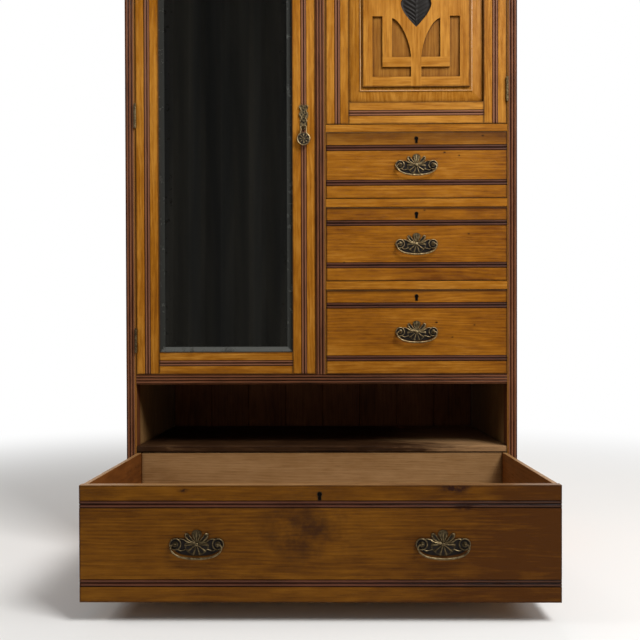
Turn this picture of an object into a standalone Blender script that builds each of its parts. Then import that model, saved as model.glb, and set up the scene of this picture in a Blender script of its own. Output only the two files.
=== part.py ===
"""Wardrobe in light wood with red-brown reeded posts and bands.

A tall mirror door stands on the left. On the right a cupboard door with a fretted panel stands over
three short drawers. Below the doors an open recess runs the full width over one wide base drawer,
which is shown pulled out. Metres, +Z up, +X to the right seen from the front, +Y into the wardrobe.
The origin is on the floor under the middle of the front, and the posts' front faces lie at y = 0.
"""

import math

import bmesh
import bpy
from mathutils import Matrix, Vector

# Carcass
CARCASS_WIDTH = 1.220
CARCASS_DEPTH = 0.570
POST_WIDTH = 0.030
POST_DEPTH = 0.045
CENTRE_POST_WIDTH = 0.031
PARTITION_THICK = 0.018
BOARD_THICK = 0.018
BACK_THICK = 0.012
BACK_BOARDS = 8
BACK_GROOVE = 0.006
BACK_GROOVE_DEPTH = 0.003
SIDE_PANEL_SINK = 0.006
SIDE_FRAME = 0.085
SIDE_CHAMFER = 0.010
PLINTH_HEIGHT = 0.050
PLINTH_PROUD = 0.010
PLINTH_WALL = 0.022
PLINTH_CHAMFER = 0.004
RECESS_HEIGHT = 0.195
RECESS_SETBACK = 0.004
BASE_RAIL_HEIGHT = 0.030
BASE_RAIL_DEPTH = 0.040
CORNICE_HEIGHT = 0.085
CORNICE_PROUD = 0.046
CORNICE_SEAT = 0.022

# Hanging rail in the left bay
HANG_RAIL_RADIUS = 0.0125
HANG_FLANGE_RADIUS = 0.026
HANG_FLANGE_THICK = 0.008
HANG_RAIL_DROP = 0.150

# Doors
DOOR_THICK = 0.024
STILE_WIDTH = 0.0705
DOOR_RAIL_HEIGHT = 0.068
DOOR_LIP = 0.009
REBATE = 0.009
CUPBOARD_DOOR_HEIGHT = 0.742
GLASS_THICK = 0.005
GLASS_BEVEL = 0.016
GLASS_BEVEL_DEPTH = 0.0022
GLASS_BACK_THICK = 0.007
PANEL_THICK = 0.012
PANEL_SPLAY = 0.037
PANEL_RISE = 0.0055
PANEL_RIDGE = 0.002
PANEL_RIDGE_RISE = 0.0015

# Fret on the cupboard panel, from its centre to the right and down
FRET_THICK = 0.0055
FRET_MARGIN_X = 0.006
FRET_MARGIN_Z = 0.0095
FRET_BORDER = 0.031
CHANNEL_WIDTH = 0.031
CHANNEL_TOP = 0.038
FRAME_BAR = 0.030
STEM_HALF = 0.016
LEAF_HALF_WIDTH = 0.048
LEAF_HALF_HEIGHT = 0.072
LEAF_POWER = 1.55
WINDOW_TOP = 0.044
WINDOW_POWER = 1.25
CURVE_STEPS = 8

# Drawers, the short ones from top to bottom
SHORT_FRONTS = (0.2045, 0.2276, 0.2610)
SHORT_RAILS = (0.023, 0.026, 0.026)
SHORT_LENGTH = 0.460
SHORT_SHELF_THICK = 0.012
SHORT_RAIL_DEPTH = 0.060
BASE_FRONT = 0.282
BASE_LENGTH = 0.540
BASE_STAY = 0.020
FRONT_THICK = 0.022
DRAWER_SIDE = 0.013
DRAWER_BACK = 0.013
DRAWER_BOTTOM = 0.008
DRAWER_BOTTOM_LIFT = 0.010
SIDE_DROP = 0.0015
BASE_BAND_EDGE = 0.037
SHORT_BAND_EDGE = 0.039

# Reeds
REED_WIDTH = 0.0092
REED_DEPTH = 0.0032
REED_STEPS = 6
BAND_REEDS = 2
POST_REEDS = 3
RAIL_REEDS = 3

# Butt hinges
HINGE_HEIGHT = 0.076
HINGE_LEAF = 0.0007
HINGE_LEAF_DEPTH = 0.020
HINGE_BARREL = 0.0036
HINGE_PIN = 0.0016
HINGE_INSET = 0.105
MIDDLE_HINGE_RAISE = 0.046
HINGE_SIDES = 12

# Drawer handles
HANDLE_SPREAD = 0.295
PLATE_HALF_WIDTH = 0.0655
PLATE_TOP = 0.035
PLATE_DROP = 0.024
PLATE_THICK = 0.0025
HANDLE_POST = 0.0510
HANDLE_POST_RADIUS = 0.0046
HANDLE_POST_LENGTH = 0.0135
HANDLE_AXIS_PROUD = 0.0088
BAIL_RADIUS = 0.0019
BAIL_WIDEST = 0.0612
BAIL_HANG = 0.033
BAIL_SIDES = 2

# Drop handle on the mirror door
DROP_HEIGHT = 1.378
DROP_PLATE_HALF_WIDTH = 0.0145
DROP_PLATE_HALF_HEIGHT = 0.039
DROP_LUG_BELOW = 0.030
DROP_LUG_WIDTH = 0.008
DROP_LUG_RADIUS = 0.0050
DROP_AXIS_PROUD = 0.0085
DROP_ARM_HALF = 0.0088
DROP_RING_RADIUS = 0.0192
DROP_LENGTH = 0.0390
DROP_TUBE = 0.0018
DROP_DISC_THICK = 0.0024

# Clearances
SEAT = 0.0003
RUN = 0.0004
DRAWER_GAP = 0.0015
HINGE_GAP = 0.0024
DOOR_GAP = 0.0020
PIVOT_GAP = 0.00035
EDGE_ROUND = 0.0012

FINISHES = {
    "ash": ((0.42, 0.19, 0.045), 0.42, 0.0),
    "red_stain": ((0.085, 0.028, 0.016), 0.38, 0.0),
    "inside": ((0.30, 0.17, 0.075), 0.70, 0.0),
    "dark_inside": ((0.12, 0.060, 0.028), 0.75, 0.0),
    "mirror": ((0.75, 0.77, 0.77), 0.03, 1.0),
    "brass": ((0.33, 0.24, 0.11), 0.38, 1.0),
}

# Levels and places worked out from the sizes above
HALF = CARCASS_WIDTH / 2
INNER = HALF - POST_WIDTH
BACK_FACE = CARCASS_DEPTH - BACK_THICK
BASE_OPENING_TOP = PLINTH_HEIGHT + BASE_FRONT + 2 * DRAWER_GAP
RECESS_FLOOR_TOP = BASE_OPENING_TOP + BOARD_THICK
RAIL_BOTTOM = RECESS_FLOOR_TOP + RECESS_HEIGHT
BAY_BOTTOM = RAIL_BOTTOM + BASE_RAIL_HEIGHT
CUPBOARD_BOTTOM = BAY_BOTTOM + sum(SHORT_FRONTS) + sum(SHORT_RAILS) + 6 * DRAWER_GAP
BAY_TOP = CUPBOARD_BOTTOM + CUPBOARD_DOOR_HEIGHT + 2 * DRAWER_GAP
DOOR_TOP = BAY_TOP - DRAWER_GAP
CENTRE_EDGE = CENTRE_POST_WIDTH / 2
BAND_WIDTH = BAND_REEDS * REED_WIDTH
HINGE_AXIS_PROUD = HINGE_BARREL + SEAT
TOP = BAY_TOP + BOARD_THICK


def clear_scene():
    for obj in list(bpy.data.objects):
        bpy.data.objects.remove(obj, do_unlink=True)


def finish_material(name):
    """The Principled material of one finish, made on first use."""
    found = bpy.data.materials.get(name)
    if found:
        return found
    colour, roughness, metallic = FINISHES[name]
    made = bpy.data.materials.new(name)
    made.use_nodes = True
    shader = made.node_tree.nodes["Principled BSDF"]
    shader.inputs["Base Color"].default_value = (*colour, 1.0)
    shader.inputs["Roughness"].default_value = roughness
    shader.inputs["Metallic"].default_value = metallic
    return made


def add_empty(name, location, parent=None):
    empty = bpy.data.objects.new(name, None)
    bpy.context.collection.objects.link(empty)
    empty.location = location
    empty.parent = parent
    return empty


def add_object(name, data, finish, parent=None, location=(0, 0, 0)):
    """Link one piece. Its location is in the world while its parent rests where it was made."""
    data.materials.clear()
    data.materials.append(finish_material(finish))
    obj = bpy.data.objects.new(name, data)
    bpy.context.collection.objects.link(obj)
    obj.location = location
    if parent:
        obj.parent = parent
        obj.matrix_parent_inverse = Matrix.Translation(-Vector(parent.location))
    return obj


def closed_mesh(name, points, faces):
    mesh = bpy.data.meshes.new(name)
    mesh.from_pydata(points, [], faces)
    work = bmesh.new()
    work.from_mesh(mesh)
    bmesh.ops.recalc_face_normals(work, faces=work.faces)
    work.to_mesh(mesh)
    work.free()
    return mesh


def soften(obj, width=EDGE_ROUND, segments=1):
    bevel = obj.modifiers.new("edge", "BEVEL")
    bevel.width = width
    bevel.segments = segments
    bevel.limit_method = "ANGLE"
    bevel.angle_limit = math.radians(50)
    return obj


def boolean(obj, other, operation):
    """Join or cut with a helper object that stays hidden."""
    other.hide_render = True
    other.display_type = "WIRE"
    step = obj.modifiers.new(operation.lower(), "BOOLEAN")
    step.operation = operation
    step.object = other
    step.solver = "EXACT"
    return obj


def box_data(name, low, high):
    xs, ys, zs = zip(low, high)
    points = [(x, y, z) for x in xs for y in ys for z in zs]
    faces = [(0, 1, 3, 2), (4, 6, 7, 5), (0, 4, 5, 1), (2, 3, 7, 6), (0, 2, 6, 4), (1, 5, 7, 3)]
    return closed_mesh(name, points, faces)


def board(name, low, high, finish, parent=None):
    return soften(add_object(name, box_data(name, low, high), finish, parent))


def prism_data(name, outline, axis, start, end):
    """An outline drawn across one axis and run along it: X takes (y, z), Y (x, z) and Z (x, y)."""
    place = {
        "X": lambda u, v, w: (w, u, v),
        "Y": lambda u, v, w: (u, w, v),
        "Z": lambda u, v, w: (u, v, w),
    }[axis]
    count = len(outline)
    points = [place(u, v, w) for w in (start, end) for u, v in outline]
    faces = [tuple(range(count)), tuple(range(2 * count - 1, count - 1, -1))]
    for i in range(count):
        j = (i + 1) % count
        faces.append((i, j, count + j, count + i))
    return closed_mesh(name, points, faces)


def prism(name, outline, axis, start, end, finish, parent=None):
    return add_object(name, prism_data(name, outline, axis, start, end), finish, parent)


def loft_rectangles(name, centre, sections, finish, parent=None):
    """Upright rectangles (half width, half height, y) joined front to back and capped."""
    cx, cz = centre
    corners = ((-1, -1), (1, -1), (1, 1), (-1, 1))
    points = [(cx + sx * w, y, cz + sz * h) for w, h, y in sections for sx, sz in corners]
    faces = [(0, 1, 2, 3), tuple(range(len(points) - 1, len(points) - 5, -1))]
    for ring in range(len(sections) - 1):
        a = 4 * ring
        for i in range(4):
            j = (i + 1) % 4
            faces.append((a + i, a + j, a + 4 + j, a + 4 + i))
    return add_object(name, closed_mesh(name, points, faces), finish, parent)


def cylinder_data(name, radius, start, end, axis, centre, sides=HINGE_SIDES):
    """A round bar along one axis; centre gives its place on the other two."""
    outline = []
    for i in range(sides):
        turn = 2 * math.pi * i / sides
        outline.append((centre[0] + radius * math.cos(turn), centre[1] + radius * math.sin(turn)))
    return prism_data(name, outline, axis, start, end)


def helper(name, mesh, parent=None):
    """A hidden shape that another piece is cut by or joined with."""
    return add_object(name, mesh, "brass", parent)


def reeds(start, count):
    """Half-round reeds side by side, as (place along the face, depth below it)."""
    points = []
    for reed in range(count):
        for step in range(REED_STEPS + 1):
            if reed and not step:
                continue
            turn = math.pi * step / REED_STEPS
            along = start + (reed + (1 - math.cos(turn)) / 2) * REED_WIDTH
            points.append((along, REED_DEPTH * (1 - math.sin(turn))))
    return points


def reeded_line(low, high, bands):
    """A face from low to high with bands of reeds, each (start, count)."""
    points = [(low, 0.0)]
    for start, count in bands:
        points.append((start, 0.0))
        points.extend(reeds(start, count))
        points.append((start + count * REED_WIDTH, 0.0))
    points.append((high, 0.0))
    return points


def centred_band(low, high, count=BAND_REEDS):
    return ((low + high - count * REED_WIDTH) / 2, count)


def make_post(name, low, high):
    """Front post with reeds over its width, on the plinth and up to the cornice."""
    face = reeded_line(low, high, [centred_band(low, high, POST_REEDS)])
    outline = [(x, sink) for x, sink in face] + [(high, POST_DEPTH), (low, POST_DEPTH)]
    prism(name, outline, "Z", PLINTH_HEIGHT + SEAT, BAY_TOP - SEAT, "red_stain")


def make_side(name, outer, inner):
    """Side of the carcass, framed with two sunk panels on its outer face."""
    front = POST_DEPTH + SEAT
    low, high = PLINTH_HEIGHT + SEAT, BAY_TOP - SEAT
    middle = CUPBOARD_BOTTOM
    side = board(name, (min(outer, inner), front, low), (max(outer, inner), CARCASS_DEPTH, high), "ash")
    spans = ((low + SIDE_FRAME, middle - SIDE_FRAME / 2), (middle + SIDE_FRAME / 2, high - SIDE_FRAME))
    toward = 1 if inner > outer else -1
    for index, (bottom, top) in enumerate(spans):
        rings = ((-SIDE_CHAMFER, -SIDE_CHAMFER), (SIDE_CHAMFER, SIDE_PANEL_SINK))
        points = []
        for shrink, depth in rings:
            x = outer + toward * depth * (1 if depth > 0 else SIDE_PANEL_SINK / SIDE_CHAMFER)
            for y, z in ((0, 0), (1, 0), (1, 1), (0, 1)):
                near = front + SIDE_FRAME + shrink
                far = CARCASS_DEPTH - SIDE_FRAME - shrink
                points.append((x, far if y else near, top - shrink if z else bottom + shrink))
        faces = [(0, 1, 2, 3), (7, 6, 5, 4)]
        faces += [(i, (i + 1) % 4, 4 + (i + 1) % 4, 4 + i) for i in range(4)]
        cutter = helper(f"{name}_sink_{index}", closed_mesh(f"{name}_sink_{index}", points, faces))
        boolean(side, cutter, "DIFFERENCE")


def make_plinth():
    """Low plinth with the base board in one, open below, standing proud at the front and sides."""
    reach = HALF + PLINTH_PROUD
    low = (-reach, -PLINTH_PROUD, 0.0)
    high = (reach, CARCASS_DEPTH, PLINTH_HEIGHT)
    plinth = add_object("plinth", box_data("plinth", low, high), "red_stain")
    hollow_low = (-reach + PLINTH_WALL, -PLINTH_PROUD + PLINTH_WALL, -PLINTH_WALL)
    hollow_high = (reach - PLINTH_WALL, CARCASS_DEPTH - PLINTH_WALL, PLINTH_HEIGHT - BOARD_THICK)
    boolean(plinth, helper("plinth_hollow", box_data("plinth_hollow", hollow_low, hollow_high)), "DIFFERENCE")
    soften(plinth, PLINTH_CHAMFER)


def make_boards():
    """The boards between the sides, and the top board over them."""
    left, right = -INNER + SEAT, INNER - SEAT
    behind = BACK_FACE - SEAT
    low = (left, RECESS_SETBACK, BASE_OPENING_TOP)
    board("recess_floor", low, (right, behind, RECESS_FLOOR_TOP), "inside")
    rail_start = RAIL_BOTTOM + (BASE_RAIL_HEIGHT - RAIL_REEDS * REED_WIDTH) / 2
    face = reeded_line(RAIL_BOTTOM, BAY_BOTTOM, [(rail_start, RAIL_REEDS)])
    outline = [(sink, z) for z, sink in face]
    outline += [(behind, BAY_BOTTOM), (behind, BAY_BOTTOM - BOARD_THICK)]
    outline += [(BASE_RAIL_DEPTH, BAY_BOTTOM - BOARD_THICK), (BASE_RAIL_DEPTH, RAIL_BOTTOM)]
    prism("carcass_floor", outline, "X", left, right, "red_stain")
    board("top_board", (-HALF, 0.0, BAY_TOP), (HALF, CARCASS_DEPTH, TOP), "ash")


def make_partition():
    """Centre post with its reeded face, and the partition behind it, in one."""
    low, high = -CENTRE_EDGE, CENTRE_EDGE
    web = PARTITION_THICK / 2
    behind = BACK_FACE - SEAT
    face = reeded_line(low, high, [centred_band(low, high, POST_REEDS)])
    outline = [(x, sink) for x, sink in face]
    outline += [(high, POST_DEPTH), (web, POST_DEPTH), (web, behind), (-web, behind)]
    outline += [(-web, POST_DEPTH), (low, POST_DEPTH)]
    prism("partition", outline, "Z", BAY_BOTTOM + SEAT, BAY_TOP - SEAT, "red_stain")


def make_back():
    """Tongued boards with a V groove at each joint, on both faces."""
    left, right = -INNER + SEAT, INNER - SEAT
    pitch = (right - left) / BACK_BOARDS
    near, far = BACK_FACE, CARCASS_DEPTH
    joints = [left + pitch * i for i in range(1, BACK_BOARDS)]
    grooves = ((-BACK_GROOVE / 2, 0.0), (0.0, BACK_GROOVE_DEPTH), (BACK_GROOVE / 2, 0.0))
    outline = [(left, near)]
    outline += [(x + across, near + sink) for x in joints for across, sink in grooves]
    outline += [(right, near), (right, far)]
    outline += [(x - across, far - sink) for x in reversed(joints) for across, sink in grooves]
    outline.append((left, far))
    prism("back_panel", outline, "Z", PLINTH_HEIGHT + SEAT, BAY_TOP - SEAT, "dark_inside")


def cornice_profile():
    """Outline of the cornice as (out from the carcass, up from its seat)."""
    cove_low, cove_high = 0.36 * CORNICE_HEIGHT, 0.74 * CORNICE_HEIGHT
    cove_in, cove_out = 0.14 * CORNICE_PROUD, 0.88 * CORNICE_PROUD
    points = [(-CORNICE_SEAT, 0.0), (0.0, 0.0), (0.0, 0.30 * CORNICE_HEIGHT)]
    points.append((cove_in, 0.30 * CORNICE_HEIGHT))
    for step in range(CURVE_STEPS + 1):
        turn = math.pi / 2 * step / CURVE_STEPS
        out = cove_in + (cove_out - cove_in) * (1 - math.cos(turn))
        points.append((out, cove_low + (cove_high - cove_low) * math.sin(turn)))
    points += [(CORNICE_PROUD, cove_high), (CORNICE_PROUD, 0.94 * CORNICE_HEIGHT)]
    points += [(cove_out, CORNICE_HEIGHT), (-CORNICE_SEAT, CORNICE_HEIGHT)]
    return points


def make_cornice():
    """Moulded cornice mitred round the front and both sides."""
    profile = cornice_profile()
    count = len(profile)
    points = []
    for side, along in ((-1, CARCASS_DEPTH), (-1, 0.0), (1, 0.0), (1, CARCASS_DEPTH)):
        for out, up in profile:
            y = along if along else -out
            points.append((side * (HALF + out), y, TOP + SEAT + up))
    faces = [tuple(range(count)), tuple(range(4 * count - 1, 3 * count - 1, -1))]
    for run in range(3):
        for i in range(count):
            j = (i + 1) % count
            a, b = run * count, (run + 1) * count
            faces.append((a + i, a + j, b + j, b + i))
    add_object("cornice", closed_mesh("cornice", points, faces), "ash")


def make_hanging_rail():
    """Turned rail across the left bay, with a flange at each end."""
    start, end = -INNER + SEAT, -PARTITION_THICK / 2 - SEAT
    flange = HANG_FLANGE_THICK
    profile = [(start, 0.0), (start, HANG_FLANGE_RADIUS), (start + flange, HANG_FLANGE_RADIUS)]
    profile += [(start + flange, HANG_RAIL_RADIUS), (end - flange, HANG_RAIL_RADIUS)]
    profile += [(end - flange, HANG_FLANGE_RADIUS), (end, HANG_FLANGE_RADIUS), (end, 0.0)]
    work = bmesh.new()
    verts = [work.verts.new((x, 0.0, r)) for x, r in profile]
    edges = [work.edges.new(pair) for pair in zip(verts, verts[1:])]
    bmesh.ops.spin(
        work,
        geom=verts + edges,
        axis=(1, 0, 0),
        cent=(0, 0, 0),
        angle=2 * math.pi,
        steps=16,
        use_merge=True,
    )
    bmesh.ops.remove_doubles(work, verts=work.verts, dist=1e-6)
    bmesh.ops.recalc_face_normals(work, faces=work.faces)
    mesh = bpy.data.meshes.new("hanging_rail")
    work.to_mesh(mesh)
    work.free()
    mesh.shade_smooth()
    mesh.set_sharp_from_angle(angle=math.radians(40))
    place = (0, (POST_DEPTH + BACK_FACE) / 2, BAY_TOP - HANG_RAIL_DROP)
    add_object("hanging_rail", mesh, "brass", location=place)


def door_stile(name, low, high, bottom, top, glass_right, parent):
    """Upright of a door with a reed band, and a rebate behind its inner edge."""
    face = reeded_line(low, high, [centred_band(low, high)])
    outline = [(x, sink) for x, sink in face]
    if glass_right:
        outline += [(high, DOOR_LIP), (high - REBATE, DOOR_LIP), (high - REBATE, DOOR_THICK), (low, DOOR_THICK)]
    else:
        outline += [(high, DOOR_THICK), (low + REBATE, DOOR_THICK), (low + REBATE, DOOR_LIP), (low, DOOR_LIP)]
    prism(name, outline, "Z", bottom, top, "ash", parent)


def door_rail(name, left, right, low, high, glass_above, parent):
    """Cross rail of a door with a reed band, and a rebate behind its inner edge."""
    face = reeded_line(low, high, [centred_band(low, high)])
    outline = [(sink, z) for z, sink in face]
    if glass_above:
        outline += [(DOOR_LIP, high), (DOOR_LIP, high - REBATE), (DOOR_THICK, high - REBATE), (DOOR_THICK, low)]
    else:
        outline += [(DOOR_THICK, high), (DOOR_THICK, low + REBATE), (DOOR_LIP, low + REBATE), (DOOR_LIP, low)]
    prism(name, outline, "X", left, right, "ash", parent)


def door_frame(prefix, left, right, bottom, top, parent, hinge_left):
    """Two stiles and two rails. Returns the opening's centre and half sizes."""
    names = ("hinge_stile", "lock_stile") if hinge_left else ("lock_stile", "hinge_stile")
    door_stile(f"{prefix}_{names[0]}", left, left + STILE_WIDTH, bottom, top, True, parent)
    door_stile(f"{prefix}_{names[1]}", right - STILE_WIDTH, right, bottom, top, False, parent)
    inner_left, inner_right = left + STILE_WIDTH + SEAT, right - STILE_WIDTH - SEAT
    inner_bottom, inner_top = bottom + DOOR_RAIL_HEIGHT, top - DOOR_RAIL_HEIGHT
    door_rail(f"{prefix}_bottom_rail", inner_left, inner_right, bottom, inner_bottom, True, parent)
    door_rail(f"{prefix}_top_rail", inner_left, inner_right, inner_top, top, False, parent)
    centre = ((left + right) / 2, (bottom + top) / 2)
    return centre, (right - left) / 2 - STILE_WIDTH, (inner_top - inner_bottom) / 2


def hinge_leaf(name, axis_x, middle, toward, knuckles, pin, parent):
    """One leaf with its knuckles. The outer two carry the pin, and the middle one turns on it."""
    low, high = middle - HINGE_HEIGHT / 2, middle + HINGE_HEIGHT / 2
    cuts = [low, low + HINGE_HEIGHT / 3, high - HINGE_HEIGHT / 3, high]
    axis_y = -HINGE_AXIS_PROUD
    root = HINGE_BARREL - HINGE_AXIS_PROUD + SEAT
    reach = axis_y + HINGE_BARREL * 0.75 if pin else axis_y + HINGE_PIN + 2 * PIVOT_GAP
    outline = [(root, low + SEAT), (HINGE_LEAF_DEPTH, low + SEAT)]
    outline += [(HINGE_LEAF_DEPTH, high - SEAT), (root, high - SEAT)]
    for bottom, top in reversed(knuckles):
        outline += [(root, cuts[top] - SEAT), (reach, cuts[top] - SEAT)]
        outline += [(reach, cuts[bottom] + SEAT), (root, cuts[bottom] + SEAT)]
    kept = [p for i, p in enumerate(outline) if p != outline[i - 1]]
    edge = axis_x + toward * (HINGE_GAP / 2 - SEAT)
    leaf = prism(name, kept, "X", edge - toward * HINGE_LEAF, edge, "brass", parent)
    for index, (bottom, top) in enumerate(knuckles):
        span = (cuts[bottom] + SEAT, cuts[top] - SEAT)
        barrel = cylinder_data(f"{name}_barrel_{index}", HINGE_BARREL, *span, "Z", (axis_x, axis_y))
        boolean(leaf, helper(f"{name}_barrel_{index}", barrel, parent), "UNION")
    if pin:
        span = (low + HINGE_HEIGHT / 6, high - HINGE_HEIGHT / 6)
        mesh = cylinder_data(f"{name}_pin", HINGE_PIN, *span, "Z", (axis_x, axis_y), 8)
        boolean(leaf, helper(f"{name}_pin", mesh, parent), "UNION")
    else:
        hole = cylinder_data(f"{name}_hole", HINGE_PIN + PIVOT_GAP, low, high, "Z", (axis_x, axis_y), 8)
        boolean(leaf, helper(f"{name}_hole", hole, parent), "DIFFERENCE")


def make_hinges(prefix, axis_x, toward_door, heights, door):
    for index, middle in enumerate(heights, 1):
        hinge_leaf(f"{prefix}_hinge_{index}_post", axis_x, middle, -toward_door, ((0, 1), (2, 3)), True, None)
        hinge_leaf(f"{prefix}_hinge_{index}_door", axis_x, middle, toward_door, ((1, 2),), False, door)


def make_mirror_door():
    axis_x = -INNER + HINGE_GAP / 2
    left, right = -INNER + HINGE_GAP, -CENTRE_EDGE - DOOR_GAP
    bottom = BAY_BOTTOM + DRAWER_GAP
    door = add_empty("mirror_door", (axis_x, -HINGE_AXIS_PROUD, bottom))
    centre, half_w, half_h = door_frame("mirror", left, right, bottom, DOOR_TOP, door, True)
    w, h = half_w + REBATE - RUN, half_h + REBATE - RUN
    front = DOOR_LIP + SEAT
    bevel = GLASS_BEVEL + REBATE
    rings = [(w, h, front + GLASS_THICK), (w, h, front + GLASS_BEVEL_DEPTH)]
    rings.append((w - bevel, h - bevel, front))
    loft_rectangles("mirror_glass", centre, rings, "mirror", door)
    behind = front + GLASS_THICK + SEAT
    low = (centre[0] - w, behind, centre[1] - h)
    board("mirror_back", low, (centre[0] + w, behind + GLASS_BACK_THICK, centre[1] + h), "inside", door)
    middle = (bottom + DOOR_TOP) / 2 + MIDDLE_HINGE_RAISE
    heights = (bottom + HINGE_INSET, middle, DOOR_TOP - HINGE_INSET)
    make_hinges("mirror", axis_x, 1, heights, door)
    make_drop_handle(right - STILE_WIDTH / 2, DROP_HEIGHT, door)


def make_cupboard_door():
    axis_x = INNER - HINGE_GAP / 2
    left, right = CENTRE_EDGE + DOOR_GAP, INNER - HINGE_GAP
    bottom = CUPBOARD_BOTTOM + DRAWER_GAP
    door = add_empty("cupboard_door", (axis_x, -HINGE_AXIS_PROUD, bottom))
    centre, half_w, half_h = door_frame("cupboard", left, right, bottom, DOOR_TOP, door, False)
    w, h = half_w + REBATE - RUN, half_h + REBATE - RUN
    front = DOOR_LIP + SEAT
    field_w, field_h = half_w - PANEL_SPLAY, half_h - PANEL_SPLAY
    field_y = front - PANEL_RISE
    ridge_y = field_y + PANEL_RIDGE_RISE
    rings = [(w, h, front + PANEL_THICK), (w, h, front), (half_w - SEAT, half_h - SEAT, front)]
    rings += [(field_w + PANEL_RIDGE, field_h + PANEL_RIDGE, ridge_y), (field_w, field_h, field_y)]
    loft_rectangles("cupboard_panel", centre, rings, "ash", door)
    make_fret(centre, field_w - FRET_MARGIN_X, field_h - FRET_MARGIN_Z, field_y - SEAT, door)
    make_hinges("cupboard", axis_x, -1, (bottom + HINGE_INSET, DOOR_TOP - HINGE_INSET), door)


def channel_outline(half_w, half_h):
    """L-shaped gap between the fret's border and its inner frame, lower right quarter."""
    outer_x, outer_z = half_w - FRET_BORDER, half_h - FRET_BORDER
    inner_x, inner_z = outer_x - CHANNEL_WIDTH, outer_z - CHANNEL_WIDTH
    return [
        (STEM_HALF, -outer_z),
        (outer_x, -outer_z),
        (outer_x, -CHANNEL_TOP),
        (inner_x, -CHANNEL_TOP),
        (inner_x, -inner_z),
        (STEM_HALF, -inner_z),
    ]


def window_outline(half_w, half_h):
    """Gap between the inner frame and a curved branch of the stem, lower right quarter."""
    far_x = half_w - FRET_BORDER - CHANNEL_WIDTH - FRAME_BAR
    low_z = half_h - FRET_BORDER - CHANNEL_WIDTH - FRAME_BAR
    points = [(far_x, -low_z)]
    for step in range(CURVE_STEPS + 1):
        turn = math.pi / 2 * (1 - step / CURVE_STEPS)
        x = far_x - (far_x - STEM_HALF) * math.cos(turn) ** WINDOW_POWER
        points.append((x, -low_z + (low_z - WINDOW_TOP) * math.sin(turn) ** WINDOW_POWER))
    return points


def leaf_outline():
    """Pointed oval at the middle of the fret."""
    right = []
    for step in range(2 * CURVE_STEPS + 1):
        z = LEAF_HALF_HEIGHT * (step / CURVE_STEPS - 1)
        right.append((LEAF_HALF_WIDTH * (1 - (abs(z) / LEAF_HALF_HEIGHT) ** LEAF_POWER), z))
    return right + [(-x, z) for x, z in reversed(right[1:-1])]


def add_outline(curve, outline):
    spline = curve.splines.new("POLY")
    spline.points.add(len(outline) - 1)
    for point, (x, z) in zip(spline.points, outline):
        point.co = (x, z, 0.0, 1.0)
    spline.use_cyclic_u = True


def flat_curve(name, outlines, thick):
    """A flat plate cut to outlines, the first round the outside and the rest holes in it."""
    curve = bpy.data.curves.new(name, "CURVE")
    curve.dimensions = "2D"
    curve.fill_mode = "BOTH"
    curve.extrude = thick / 2
    for outline in outlines:
        add_outline(curve, outline)
    return curve


def stand_up(obj):
    """Turn a flat plate upright, so that its face looks to the front."""
    obj.rotation_euler = (math.pi / 2, 0, 0)
    return obj


def make_fret(centre, half_w, half_h, back_y, door):
    """Fretted overlay: a border, an inner frame, and a stem whose branches hold a pointed oval."""
    outlines = [[(-half_w, -half_h), (half_w, -half_h), (half_w, half_h), (-half_w, half_h)]]
    for quarter in (channel_outline(half_w, half_h), window_outline(half_w, half_h)):
        for sx in (1, -1):
            for sz in (1, -1):
                outlines.append([(sx * x, sz * z) for x, z in quarter])
    outlines.append(leaf_outline())
    curve = flat_curve("cupboard_fret", outlines, FRET_THICK)
    place = (centre[0], back_y - FRET_THICK / 2, centre[1])
    stand_up(add_object("cupboard_fret", curve, "ash", door, place))


def smooth_outline(half):
    """A closed outline, mirrored left to right, through the right half's points from bottom to top."""
    ring = half + [(-x, z) for x, z in reversed(half[1:-1])]
    points = []
    count = len(ring)
    for i in range(count):
        p0, p1, p2, p3 = (Vector((*ring[(i + k) % count], 0)) for k in (-1, 0, 1, 2))
        for t in (0.0, 1 / 3, 2 / 3):
            a = 2 * p1 + (p2 - p0) * t
            b = (2 * p0 - 5 * p1 + 4 * p2 - p3) * t * t
            c = (3 * p1 - p0 - 3 * p2 + p3) * t ** 3
            point = 0.5 * (a + b + c)
            points.append((point.x, point.y))
    return points


def handle_plate_outline():
    """Shell-shaped plate: a fan in the middle and a scroll round each post."""
    w, top, drop = PLATE_HALF_WIDTH, PLATE_TOP, PLATE_DROP
    half = [(0.0, -drop), (0.22 * w, -0.92 * drop), (0.45 * w, -0.60 * drop), (0.60 * w, -0.34 * drop)]
    half += [(0.84 * w, -0.44 * drop), (0.97 * w, -0.10 * drop), (w, 0.14 * top), (0.90 * w, 0.34 * top)]
    half += [(0.76 * w, 0.31 * top), (0.61 * w, 0.38 * top), (0.53 * w, 0.60 * top), (0.38 * w, 0.78 * top)]
    half += [(0.21 * w, 0.86 * top), (0.10 * w, 0.97 * top), (0.0, top)]
    return smooth_outline(half)


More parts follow.
